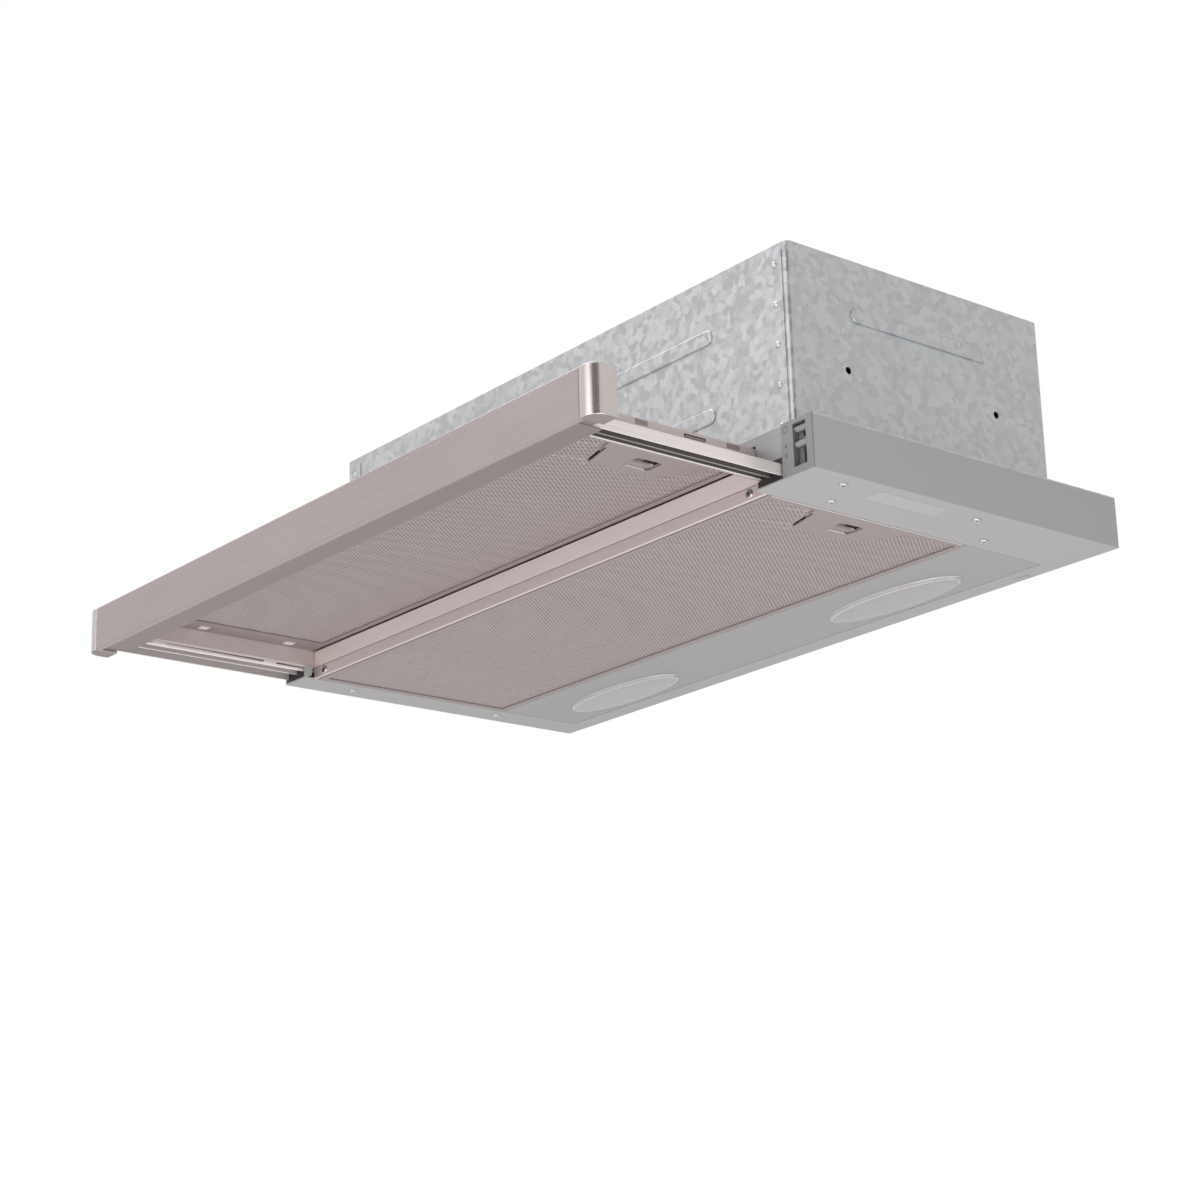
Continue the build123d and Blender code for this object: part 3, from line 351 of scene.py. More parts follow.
# Casing seams: the ends of the casing are zinc sheets of their own, whose turned edges lap over the
# front and back and are riveted there. Beads pressed out of the sides and the top stiffen them.
LAP_W = 0.014
LAP_T = 0.0007
LAP_CORNER = 0.001
LAP_EDGE = 0.0003
CASE_CORNER = 0.005
RIVETS = 5
RIVET_R = 0.0024
RIVET_FLAT = 0.5
BEAD_W = 0.011
BEAD_H = 0.0013
BEAD_END = 0.49 * BEAD_W
BEAD_EDGE = 0.0011
LONG_BEAD = 0.36
SHORT_BEAD = 0.13
LONG_BEADS_UP = (0.3, 0.7)
SHORT_BEAD_UP = 0.72
TOP_BEAD_X = 0.165
# A face looks along an axis when its normal has at least this share of it.
FACING = 0.9


def raised_bar(length, width, height, ends, shoulder):
    """Bar along X that stands out towards -Y, with round ends and rounded shoulders."""
    bar = bmesh.new()
    bmesh.ops.create_cube(bar, size=1)
    bmesh.ops.scale(bar, verts=bar.verts, vec=(length, 2 * height, width))
    across = [e for e in bar.edges if abs(e.verts[0].co.y - e.verts[1].co.y) > height]
    rounded(bar, across, ends, segments=5)
    bmesh.ops.delete(bar, geom=[f for f in bar.faces if f.normal.y > FACING], context="FACES")
    face = min(bar.faces, key=lambda f: f.normal.y)
    rounded(bar, face.edges[:], shoulder, segments=3)
    shape = bpy.data.meshes.new("bar")
    bar.to_mesh(shape)
    bar.free()
    return shape


def put(mesh, shape, turn, place):
    """Copy of a shape, turned and moved into a mesh."""
    start = len(mesh.verts)
    mesh.from_mesh(shape)
    mesh.verts.ensure_lookup_table()
    move = Matrix.Translation(place) @ turn.to_4x4()
    bmesh.ops.transform(mesh, verts=mesh.verts[start:], matrix=move)


low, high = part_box("motor_box")
deck_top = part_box("top_deck")[1].z
middle = (low + high) / 2
wall_h = high.z - deck_top
wall_z = deck_top + wall_h / 2
lap = raised_bar(wall_h - 2 * CASE_CORNER, LAP_W, LAP_T, LAP_CORNER, LAP_EDGE)
long_bead = raised_bar(LONG_BEAD, BEAD_W, BEAD_H, BEAD_END, BEAD_EDGE)
short_bead = raised_bar(SHORT_BEAD, BEAD_W, BEAD_H, BEAD_END, BEAD_EDGE)
dome = bmesh.new()
bmesh.ops.create_uvsphere(dome, u_segments=14, v_segments=8, radius=RIVET_R)
bmesh.ops.scale(dome, verts=dome.verts, vec=(1, RIVET_FLAT, 1))
rivet = bpy.data.meshes.new("rivet")
dome.to_mesh(rivet)
dome.free()
seams = bmesh.new()
for out in (-1, 1):
    facing = Matrix.Rotation(0 if out < 0 else pi, 3, "Z")
    side_y = low.y if out < 0 else high.y
    for s in (-1, 1):
        x = s * (high.x - CASE_CORNER - LAP_W / 2)
        put(seams, lap, facing @ Matrix.Rotation(pi / 2, 3, "Y"), (x, side_y, wall_z))
        for i in range(RIVETS):
            rivet_z = deck_top + wall_h * (i + 0.5) / RIVETS
            put(seams, rivet, facing, (x, side_y + out * LAP_T, rivet_z))
    for share in LONG_BEADS_UP:
        put(seams, long_bead, facing, (0, side_y, deck_top + wall_h * share))
    sideways = Matrix.Rotation(out * pi / 2, 3, "Z")
    end_x = high.x if out > 0 else low.x
    put(seams, short_bead, sideways, (end_x, middle.y, deck_top + wall_h * SHORT_BEAD_UP))
    upwards = Matrix.Rotation(-pi / 2, 3, "X") @ Matrix.Rotation(pi / 2, 3, "Y")
    put(seams, short_bead, upwards, (out * TOP_BEAD_X, middle.y, high.z))
piece("casing_seams", seams, "hood", "galvanised", zinc)

# Cross bar and its trim: stainless strips brushed along their length, in front of the fixed filter.
# Two screws hold the trim on the bar. The bar's pale colour is partly painted reflection, of the
# front light that the bar reflects.
BAR_STEEL_SHEEN = ((0.78, 0.69, 0.675), (0.86, 0.77, 0.75))
BRUSH_ALONG_X = (9, 2600, 2600)
STRIP_EDGE = 0.0003
bar_sheen_steel = finish(
    "satin strip with painted sheen", grain, BRUSH_ALONG_X, BAR_STEEL_SHEEN, roughness=(0.38, 0.5), bump=0.05, metallic=0.35,
)
bar = softened("front_cross_bar", STRIP_EDGE)
piece("front_cross_bar_strip", bar, "hood", "stainless", bar_sheen_steel, "front_cross_bar")
TRIM_STEEL = ((0.60, 0.52, 0.51), (0.67, 0.585, 0.575))
trim_steel = finish(
    "satin trim", grain, BRUSH_ALONG_X, TRIM_STEEL, roughness=(0.38, 0.5), bump=0.05, metallic=0.35,
)
trim = softened("bar_trim", STRIP_EDGE)
piece("bar_trim_strip", trim, "hood", "stainless", trim_steel, "bar_trim")

# Fascia: one stainless sheet folded round the tray's front, brushed along its length and screwed to
# the rails. The folds have a small bend radius.
STEEL = ((0.355, 0.305, 0.297), (0.41, 0.36, 0.35))
steel = finish(
    "brushed steel", grain, BRUSH_ALONG_X, STEEL,
    roughness=(0.30, 0.42), bump=0.05, metallic=0.85, cloud=0.25,
)
SHEET = 0.001
BEND = 0.0012
FASCIA_LIP = 0.004
BACK_SHORT = 0.0049
low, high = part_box("fascia")
front = bmesh.new()
line = [
    (high.y, low.z + BACK_SHORT),
    (high.y, high.z),
    (low.y, high.z),
    (low.y, low.z),
    (low.y + FASCIA_LIP, low.z),
]
corners = [front.verts.new((low.x, y, z)) for y, z in line]
wires = [front.edges.new(pair) for pair in zip(corners, corners[1:])]
drawn = bmesh.ops.extrude_edge_only(front, edges=wires)
moved = [v for v in drawn["geom"] if isinstance(v, bmesh.types.BMVert)]
bmesh.ops.translate(front, verts=moved, vec=(high.x - low.x, 0, 0))
bends = [e for e in front.edges if len(e.link_faces) == 2]
rounded(front, bends, BEND, segments=4)
bmesh.ops.recalc_face_normals(front, faces=front.faces)
outer = [f for f in front.faces if f.normal.y < -FACING][0]
if outer.calc_center_median().y > low.y + SHEET:
    bmesh.ops.reverse_faces(front, faces=front.faces)
bmesh.ops.solidify(front, geom=front.faces[:], thickness=SHEET)
piece("fascia_sheet", front, "tray", "stainless", steel, "fascia")

# End caps: hollow mouldings with a rounded corner, in a metallic grey to match the fascia. They
# push into its open ends, and their undersides are duller.
CAP_EDGE = 0.0006
CAP_SKIN = 0.001
BRUSH_UPRIGHT = (2600, 2600, 9)
CAP_GREY = ((0.49, 0.445, 0.43), (0.55, 0.505, 0.49))
cap = finish(
    "silver cap", grain, BRUSH_UPRIGHT, CAP_GREY, roughness=(0.22, 0.3), bump=0.03, metallic=0.9,
)
CAP_UNDER = ((0.213, 0.185, 0.180), (0.262, 0.230, 0.226))
cap_under = finish(
    "cap underside", grain, 1800, CAP_UNDER, roughness=(0.4, 0.5), bump=0.06, metallic=0.3,
)
for node in ("end_cap_left", "end_cap_right"):
    moulding = softened(node, CAP_EDGE, segments=3)
    moulding.normal_update()
    for face in moulding.faces:
        if face.normal.z < -FACING and face.calc_center_median().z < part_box(node)[0].z + CAP_SKIN:
            face.material_index = 1
    piece(node + "_moulding", moulding, "tray", "cap_plastic", [cap, cap_under], node)

# Grip strip: the steel bar under the fascia that the fingers pull. Thin tongues at its ends close
# the hollow of the fascia up to the end caps. Both take a darker copy of the fascia's steel, as
# painted shade in the fascia's hollow.
GRIP_SHADE_STEEL = ((0.205, 0.168, 0.163), (0.262, 0.218, 0.212))
grip_shade_steel = finish(
    "grip steel with painted shade", grain, BRUSH_ALONG_X, GRIP_SHADE_STEEL,
    roughness=(0.3, 0.42), bump=0.05, metallic=0.9, cloud=0.25,
)
GRIP_EDGE = 0.0004
GRIP_CORNER = 0.004
TONGUE_T = 0.001


def block(mesh, size, centre):
    """Rectangular block of a size, added to a mesh round a centre. Gives its vertices."""
    fresh = bmesh.ops.create_cube(mesh, size=1)["verts"]
    bmesh.ops.scale(mesh, verts=fresh, vec=size)
    bmesh.ops.translate(mesh, verts=fresh, vec=centre)
    return fresh


bar = softened("grip_strip", GRIP_EDGE)
low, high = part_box("grip_strip")
fascia_low, fascia_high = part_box("fascia")
depth = fascia_high.y - 2 * SHEET - low.y
for end, inner in ((fascia_low.x, low.x + GRIP_CORNER), (fascia_high.x, high.x - GRIP_CORNER)):
    centre = ((end + inner) / 2, low.y + depth / 2, low.z + TONGUE_T)
    block(bar, (abs(end - inner), depth, TONGUE_T), centre)
piece("grip_strip_bar", bar, "tray", "stainless", grip_shade_steel, "grip_strip")

# Tray cover: the sprayed sheet lid of the tray, with its side walls folded down. Flat steel clips
# close the two windows in its right wall. Their grey is painted shade, for the frame seen in shadow
# through the windows.
COVER_EDGE = 0.0003
LEVEL = 1e-5
CLIPS_FROM_TO = ((-0.379, -0.369), (-0.305, -0.294))
CLIP_BACK = 0.0003
CLIP_T = 0.0005
CLIP_H = 0.0035
CLIP_Z = -0.01085
TRAY_PAINT = ((0.55, 0.475, 0.465), (0.60, 0.525, 0.51))
tray_paint = finish(
    "tray paint", grain, SPRAY, TRAY_PAINT, roughness=(0.4, 0.5), bump=0.06, metallic=0.3,
)
cover = plain("tray_cover")
low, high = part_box("tray_cover")
top_edges = [e for e in cover.edges if all(v.co.z > high.z - LEVEL for v in e.verts)]
rounded(cover, top_edges, COVER_EDGE)
piece("tray_cover_sheet", cover, "tray", "tray_steel", tray_paint, "tray_cover")
CLIP_SHADE = ((0.26, 0.215, 0.21), (0.32, 0.27, 0.265))
clip_shade = finish(
    "window clip shade", grain, SPRAY, CLIP_SHADE, roughness=(0.4, 0.5), bump=0.06, metallic=0.3,
)
clips = bmesh.new()
for y0, y1 in CLIPS_FROM_TO:
    centre = (high.x - CLIP_BACK - CLIP_T / 2, (y0 + y1) / 2, CLIP_Z)
    block(clips, (CLIP_T, y1 - y0, CLIP_H), centre)
piece("window_shade_clips", clips, "tray", "tray_steel", clip_shade)

# Rails: bright rolled steel profiles under the tray's walls, which run in the hood's channels.
# Their grooves are painted shade, darker in the right rail than in the left. A strip on the inner
# leg is a painted highlight, and the downward faces between the beads are painted light on the left
# rail and dark on the right one.
RAIL_EDGE = 0.00025
WEB_T = 0.002
BEAD_OUT = 0.002
WEB_REACH = 1.3 * WEB_T
GROOVE_IN = 1.3 * BEAD_OUT
OUTER_SKIN = 0.0003
HIGHLIGHT_FROM = 0.0001
HIGHLIGHT_TO = 0.0005
ROLLED = (2600, 9, 2600)
RAIL = ((0.72, 0.66, 0.64), (0.80, 0.74, 0.72))
rail_steel = finish(
    "rolled steel", grain, ROLLED, RAIL, roughness=(0.25, 0.35), bump=0.03, metallic=0.3,
)
GROOVE_SHADE = ((0.12, 0.110, 0.106), (0.17, 0.158, 0.152))
groove_shade = finish(
    "painted groove shade", grain, ROLLED, GROOVE_SHADE, roughness=(0.35, 0.5), bump=0.03, metallic=0.3,
)
PALE_GROOVE_SHADE = ((0.42, 0.385, 0.375), (0.52, 0.48, 0.468))
pale_groove_shade = finish(
    "painted pale groove shade", grain, ROLLED, PALE_GROOVE_SHADE, roughness=(0.35, 0.5), bump=0.03, metallic=0.3,
)
RAIL_HIGHLIGHT = ((0.80, 0.76, 0.74), (0.88, 0.84, 0.82))
rail_highlight = finish("painted rail highlight", grain, 1200, RAIL_HIGHLIGHT, roughness=(0.3, 0.4), bump=0.03, metallic=0.2)
rail_middle = (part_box("tray_rail_left")[0].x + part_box("tray_rail_right")[1].x) / 2
# Each rail's painted groove shade and the finish of its downward faces between the beads, which is
# a painted highlight on the left rail and painted shade on the right.
for node, groove_shading, edge in (
    ("tray_rail_left", pale_groove_shade, rail_highlight),
    ("tray_rail_right", groove_shade, clip_shade),
):
    rail = softened(node, RAIL_EDGE)
    rail.normal_update()
    low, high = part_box(node)
    near, far = sorted((abs(low.x - rail_middle), abs(high.x - rail_middle)))
    # Groove roofs and walls take the painted groove shade, a strip on the inner leg the painted
    # highlight.
    for face in rail.faces:
        out = abs(face.calc_center_median().x - rail_middle)
        up = face.calc_center_median().z
        down = face.normal.z < -FACING
        under_web = down and up > high.z - WEB_REACH
        on_leg = abs(face.normal.x) > FACING and up < high.z - WEB_T
        if under_web or (on_leg and near + GROOVE_IN < out < far - OUTER_SKIN):
            face.material_index = 1
        elif down and near + BEAD_OUT < out < far - BEAD_OUT:
            face.material_index = 3
        elif on_leg and near + HIGHLIGHT_FROM < out < near + HIGHLIGHT_TO:
            face.material_index = 2
    finishes = [rail_steel, groove_shading, rail_highlight, edge]
    piece(node + "_profile", rail, "tray", "rail_steel", finishes, node)

# Rear pads and guides: moulded blocks of black nylon. The pads sit on the rails' rear ends and run
# in the hood's channels. The guides under the front wall have tongues in the rails' grooves.
PAD_EDGE = 0.0004
GUIDE_EDGE = 0.0003
BLACK = ((0.012, 0.012, 0.012), (0.022, 0.022, 0.022))
black = finish("black moulding", grain, 2200, BLACK, roughness=(0.45, 0.6), bump=0.08)
for node in ("rear_pad_left", "rear_pad_right"):
    piece(node + "_block", softened(node, PAD_EDGE), "tray", "black_plastic", black, node)
for node in ("front_guide_left", "front_guide_right"):
    piece(node + "_block", softened(node, GUIDE_EDGE), "hood", "black_plastic", black, node)

# Filter frames: shallow trays of anodised aluminium sheet, pressed with a plain field round the
# catch and hung on hooks at their left end. The hooks are bright steel, and the finger opening's
# left edge takes the same bright finish as a painted highlight.
FILTER = ((0.285, 0.235, 0.235), (0.325, 0.27, 0.27))
filter_metal = finish(
    "anodised frame", grain, 900, FILTER, roughness=(0.42, 0.52), bump=0.05, metallic=0.35,
)
HOOK_AND_HIGHLIGHT = ((0.80, 0.76, 0.74), (0.88, 0.84, 0.82))
hook_and_highlight_steel = finish("hook steel and painted highlight", grain, 1200, HOOK_AND_HIGHLIGHT, roughness=(0.3, 0.4), bump=0.03, metallic=0.2)
FRAMES = (
    ("body_filter", "filter_frame", "filter_latch"),
    ("tray_filter", "tray_filter_frame", "tray_latch"),
)
SKIN = 0.0008
LIKE = 1e-4
ROOT_IN = 0.0145
FINGER_IN = 0.0038
FINGER_D = 0.021


def finger_edge(catch):
    """Place of a finger opening's left edge, over a catch."""
    low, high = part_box(catch)
    return low.x + FINGER_IN, (low.y + high.y) / 2


for body, node, catch in FRAMES:
    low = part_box(node)[0]
    edge_x, edge_y = finger_edge(catch)
    border = plain(node)
    border.normal_update()
    # Hook faces take the bright steel, the finger opening's left wall the painted highlight.
    for face in border.faces:
        place = face.calc_center_median()
        over_hook = abs(place.z - low.z - SKIN) < LIKE and place.x < low.x + ROOT_IN
        at_finger = abs(place.x - edge_x) < LIKE and abs(place.y - edge_y) < FINGER_D / 2
        if (over_hook and face.normal.z < -FACING) or (at_finger and face.normal.x > FACING):
            face.material_index = 1
    piece(node + "_sheet", border, body, "filter_aluminium", [filter_metal, hook_and_highlight_steel], node)

# Finger openings: the sheet of each frame is turned up round its opening into narrow lips, behind
# which the catch slides. The fixed filter also has a thin rim along its right end. The left lip and
# that rim are painted bright as highlights.
FINGER_W = 0.016
FINGER_R = 0.003
LIP_T = 0.0008
LIP_GAP = 0.00005
RIM_IN = 0.003
RIM_W = 0.0007
RIM_H = 0.0002
for body, node, catch in FRAMES:
    low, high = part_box(node)
    edge_x, edge_y = finger_edge(catch)
    lip_low, lip_high = low.z + SKIN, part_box(catch)[0].z - LIP_GAP
    lip_h, lip_z = lip_high - lip_low, (lip_low + lip_high) / 2
    lips = bmesh.new()
    lip_size = (LIP_T, FINGER_D - 2 * FINGER_R, lip_h)
    highlit = block(lips, lip_size, (edge_x - LIP_T / 2, edge_y, lip_z))
    lip_size = (FINGER_W - 2 * FINGER_R, LIP_T, lip_h)
    block(lips, lip_size, (edge_x + FINGER_W / 2, edge_y + (FINGER_D + LIP_T) / 2, lip_z))
    if body == "body_filter":
        rim_size = (RIM_W, high.y - low.y - 2 * RIM_IN, 2 * RIM_H)
        highlit += block(lips, rim_size, (high.x - RIM_W / 2, (low.y + high.y) / 2, low.z))
    # The left lip and the rim take the painted highlight.
    for face in {f for v in highlit for f in v.link_faces}:
        face.material_index = 1
    piece(node + "_lips", lips, body, "filter_aluminium", [filter_metal, hook_and_highlight_steel])

# Filter mesh: expanded aluminium, a sheet slit and drawn into small diamonds over plain inner
# layers. It ends at the frame's plain field, and its layers make room for the catch. The inner
# layers are painted dark, as the shade inside the filter.
STRAND = ((0.395, 0.338, 0.334), (0.475, 0.411, 0.407))
strand_metal = finish(
    "expanded mesh", grain, 700, STRAND, roughness=(0.35, 0.45), bump=0.03, metallic=0.6,
)
LAYER_SHADE = ((0.09, 0.077, 0.077), (0.15, 0.13, 0.13))
layer_shade = finish(
    "inner mesh layer shade", grain, 2200, LAYER_SHADE, roughness=(0.5, 0.6), bump=0.2, metallic=0.3,
)
DIAMOND_X = 0.00317
DIAMOND_Y = 0.00408
STRAND_W = 0.00045
STRAND_DEEP = 0.0003
LAYER_T = 0.00025
LAYER_UP = 0.0014
LAYER_FROM = LAYER_UP / 1.2
LAYER_AREA = 0.001
CATCH_IN = 0.033
CATCH_TRAVEL = 0.006
CATCH_GAP = 0.001
MESH_END = 0.001
PLAIN_W = 0.040
PLAIN_D = 0.042
# The plain field's curve, step and slit, in shares of its width and depth from the curve's centre.
PLAIN_ROUND = 0.85
PLAIN_STEP = (-0.9, -0.72)
SLIT_AT = (-0.58, -0.84)
SLIT_FORWARD = 0.0004
SLIT_TURN = radians(-14.5)
SLIT_L = 0.0264
SLIT_W = 0.0020


def cut_window(mesh, faces, centre, size, turn=0.0):
    """Rectangle cut out of flat faces, turned about the vertical. Gives the faces left."""
    way = Matrix.Rotation(turn, 3, "Z")
    for axis in (0, 1):
        for s in (-1, 1):
            normal = way.col[axis] * s
            edges = dict.fromkeys(e for f in faces for e in f.edges)
            verts = dict.fromkeys(v for f in faces for v in f.verts)
            parts = [*faces, *edges, *verts]
            place = centre + normal * size[axis] / 2
            cut = bmesh.ops.bisect_plane(mesh, geom=parts, plane_co=place, plane_no=normal)["geom"]
            faces = [f for f in cut if isinstance(f, bmesh.types.BMFace)]
    gone = []
    for f in faces:
        local = way.transposed() @ (f.calc_center_median() - centre)
        if abs(local.x) < size[0] / 2 and abs(local.y) < size[1] / 2:
            gone.append(f)
    bmesh.ops.delete(mesh, geom=gone, context="FACES")
    return [f for f in faces if f.is_valid]


def diamond_mesh(node, catch):
    """Expanded sheet on the lower face of a mesh node under plain layers, cut away at a catch."""
    low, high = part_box(node)
    catch_low, catch_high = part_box(catch)
    middle = (low + high) / 2
    field_x = catch_low.x + CATCH_IN
    field_y = (catch_low.y + catch_high.y) / 2
    count = int((high.x - low.x) / DIAMOND_X + (high.y - low.y) / DIAMOND_Y) + 2
    # The grid's squares have a diagonal of 1, stand on a corner and are then drawn to size.
    mesh = bmesh.new()
    bmesh.ops.create_grid(mesh, x_segments=count, y_segments=count, size=count / 2 ** 1.5)
    bmesh.ops.rotate(mesh, verts=mesh.verts, cent=(0, 0, 0), matrix=Matrix.Rotation(pi / 4, 3, "Z"))
    bmesh.ops.scale(mesh, verts=mesh.verts, vec=(DIAMOND_X, DIAMOND_Y, 1))
    bmesh.ops.translate(mesh, verts=mesh.verts, vec=(middle.x, middle.y, low.z))
    for point, away in (
        ((low.x, 0, 0), (-1, 0, 0)), ((high.x, 0, 0), (1, 0, 0)),
        ((0, low.y, 0), (0, -1, 0)), ((0, high.y, 0), (0, 1, 0)),
    ):
        bmesh.ops.bisect_plane(
            mesh, geom=mesh.verts[:] + mesh.edges[:] + mesh.faces[:], plane_co=point, plane_no=away,
            clear_outer=True,
        )
    covered = []
    for cell in mesh.faces:
        x, y = cell.calc_center_median()[:2]
        x, y = (x - field_x) / PLAIN_W, (y - field_y) / PLAIN_D
        in_step = x > PLAIN_STEP[0] and PLAIN_STEP[1] < y < 0
        if x > 0 or x ** 2 + y ** 2 < PLAIN_ROUND or in_step:
            covered.append(cell)
    bmesh.ops.delete(mesh, geom=covered, context="FACES")
    slit_y = field_y + SLIT_AT[1] * PLAIN_D - SLIT_FORWARD
    slit = Vector((field_x + SLIT_AT[0] * PLAIN_W, slit_y, low.z))
    near = [f for f in mesh.faces if (f.calc_center_median() - slit).length < SLIT_L]
    cut_window(mesh, near, slit, (SLIT_L, SLIT_W), SLIT_TURN)
    bmesh.ops.reverse_faces(mesh, faces=mesh.faces)
    cells = mesh.faces[:]
    bmesh.ops.inset_individual(
        mesh, faces=cells, thickness=STRAND_W, depth=-STRAND_DEEP, use_even_offset=True,
    )
    bmesh.ops.delete(mesh, geom=cells, context="FACES")
    room_low = catch_low.x - CATCH_TRAVEL
    room = Vector(((room_low + high.x + MESH_END) / 2, field_y, low.z + LAYER_UP))
    room_size = (high.x + MESH_END - room_low, catch_high.y - catch_low.y + 2 * CATCH_GAP)
    for z in (low.z + LAYER_UP, high.z - LAYER_T):
        layer = bmesh.ops.create_grid(mesh, x_segments=1, y_segments=1, size=0.5)["verts"]
        bmesh.ops.scale(mesh, verts=layer, vec=(high.x - low.x, high.y - low.y, 1))
        bmesh.ops.translate(mesh, verts=layer, vec=(middle.x, middle.y, z))
        sheet = [f for f in mesh.faces if f.calc_area() > LAYER_AREA]
        sheet = [f for f in sheet if abs(f.calc_center_median().z - z) < LEVEL]
        bmesh.ops.reverse_faces(mesh, faces=sheet)
        if z < catch_high.z + CATCH_GAP:
            room.z = z
            sheet = cut_window(mesh, sheet, room, room_size)
            slit.z = z
            sheet = cut_window(mesh, sheet, slit, (SLIT_L, SLIT_W), SLIT_TURN)
        bmesh.ops.solidify(mesh, geom=sheet, thickness=LAYER_T)
    # The layers take the painted shade.
    for face in mesh.faces:
        if face.calc_center_median().z > low.z + LAYER_FROM:
            face.material_index = 1
    return mesh


for body, node, catch in (
    ("body_filter", "filter_mesh", "filter_latch"),
    ("tray_filter", "tray_filter_mesh", "tray_latch"),
):
    diamonds = diamond_mesh(node, catch)
    finishes = [strand_metal, layer_shade]
    piece(node + "_diamonds", diamonds, body, "mesh_aluminium", finishes, node)

# Catches: sprung slides of the frames' aluminium, whose tongue holds the filter up. The finger
# pulls them back by a tapered hole. The hole's walls, all but the left one, are painted shade, and
# a floor block in it is painted shade too: black at the back, dark grey at the front.
SHADE = ((0.010, 0.009, 0.009), (0.018, 0.017, 0.017))
shade = finish("painted recess shade", grain, 1500, SHADE, roughness=(0.5, 0.6), bump=0.02)
DULL = 0.05
shade.node_tree.nodes["Principled BSDF"].inputs["Specular IOR Level"].default_value = DULL
CATCH_EDGE = 0.0002
STEEP = 0.95
PULL_IN = 0.0154
PULL_W = 0.014
PULL_D = 0.022
PULL_NEAR = -0.25 * PULL_W
SHADE_FLOOR = (0.0088, 0.0168, 0.0004)
for body, node in (("body_filter_catch", "filter_latch"), ("tray_filter_catch", "tray_latch")):
    low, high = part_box(node)
    pull = Vector((low.x + PULL_IN, (low.y + high.y) / 2, high.z - SHADE_FLOOR[2]))
    slide = softened(node, CATCH_EDGE)
    slide.normal_update()
    # The pull's walls, all but the left one, take the painted shade.
    for face in slide.faces:
        place = face.calc_center_median() - pull
        in_pull = abs(place.x) < PULL_W / 2 and abs(place.y) < PULL_D / 2
        if in_pull and abs(face.normal.z) < STEEP:
            face.material_index = 0 if place.x < PULL_NEAR else 1
    hollow = block(slide, SHADE_FLOOR, pull)
    edges = dict.fromkeys(e for v in hollow for e in v.link_edges)
    faces = dict.fromkeys(f for v in hollow for f in v.link_faces)
    parts = [*hollow, *edges, *faces]
    # The floor block is painted shade, black at the back and the inner layers' dark grey at the
    # front.
    halves = bmesh.ops.bisect_plane(slide, geom=parts, plane_co=pull, plane_no=(0, 1, 0))
    for face in halves["geom"]:
        if isinstance(face, bmesh.types.BMFace):
            face.material_index = 1 if face.calc_center_median().y > pull.y else 2
    finishes = [filter_metal, shade, layer_shade]
    piece(node + "_slide", slide, body, "filter_aluminium", finishes, node)

# Lamp lenses: pale translucent mouldings with steep rounded sides and a low crown, clipped into the
# lamp panel. Their rims cover the edges of its openings. A thin ring at the rim and one at the
# crown's edge are painted pale as highlights, and the sides take an opaque copy of the plastic that
# paints them lighter than their light leaves them.
LET_THROUGH = 0.25
LENS = ((0.345, 0.33, 0.328), (0.405, 0.39, 0.388))
lens_plastic = finish("lens plastic", grain, 400, LENS, roughness=(0.16, 0.24), bump=0.02, coat=0.4)
lens_shader = lens_plastic.node_tree.nodes["Principled BSDF"]
lens_shader.inputs["Transmission Weight"].default_value = LET_THROUGH
LENS_HIGHLIGHT = ((0.58, 0.565, 0.56), (0.66, 0.645, 0.64))
lens_highlight = finish("painted lens highlight", grain, 400, LENS_HIGHLIGHT, roughness=(0.08, 0.14), bump=0.02, coat=0.6)
LIT_LENS_SIDE = ((0.34, 0.326, 0.323), (0.40, 0.386, 0.383))
lit_lens_side = finish("lens side lit copy", grain, 400, LIT_LENS_SIDE, roughness=(0.12, 0.18), bump=0.02, coat=0.5)
LENS_HALF = 0.0628
LENS_WIDE = 0.0200
LENS_SHIFT = -0.0068
LENS_SINK = 0.0001
# Each ring's way in from the rim, its drop below the panel and its finish: 0 the plastic, 1 the
# painted highlight, 2 the sides' painted lit copy.
LENS_RINGS = (
    (0.0001, 0.0006, 1), (0.0004, 0.0013, 2), (0.0009, 0.0018, 2), (0.0015, 0.0022, 2),
    (0.0020, 0.0024, 1), (0.0026, 0.0025, 0), (0.0050, 0.0027, 0), (0.0090, 0.0028, 0),
    (0.0150, 0.0029, 0),
)
panel_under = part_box("lamp_panel")[0].z
for node in ("lamp_lens_left", "lamp_lens_right"):
    low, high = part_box(node)
    middle = (low + high) / 2
    dome = bmesh.new()
    bmesh.ops.create_circle(dome, segments=96, radius=1)
    bmesh.ops.scale(dome, verts=dome.verts, vec=(LENS_HALF, LENS_WIDE, 1))
    rim = dome.edges[:]
    long, wide = LENS_HALF, LENS_WIDE
    for inset, drop, finish_at in LENS_RINGS:
        ring = bmesh.ops.extrude_edge_only(dome, edges=rim)["geom"]
        rim = [e for e in ring if isinstance(e, bmesh.types.BMEdge)]
        fresh = [v for v in ring if isinstance(v, bmesh.types.BMVert)]
        smaller = ((LENS_HALF - inset) / long, (LENS_WIDE - inset) / wide, 1)
        bmesh.ops.scale(dome, verts=fresh, vec=smaller)
        long, wide = LENS_HALF - inset, LENS_WIDE - inset
        for v in fresh:
            v.co.z = -drop
        for face in ring:
            if isinstance(face, bmesh.types.BMFace):
                face.material_index = finish_at
    bmesh.ops.contextual_create(dome, geom=rim)
    place = (middle.x + LENS_SHIFT, middle.y, panel_under + LENS_SINK)
    bmesh.ops.translate(dome, verts=dome.verts, vec=place)
    bmesh.ops.recalc_face_normals(dome, faces=dome.faces)
    piece(node + "_dome", dome, "hood", "lens", [lens_plastic, lens_highlight, lit_lens_side], node)

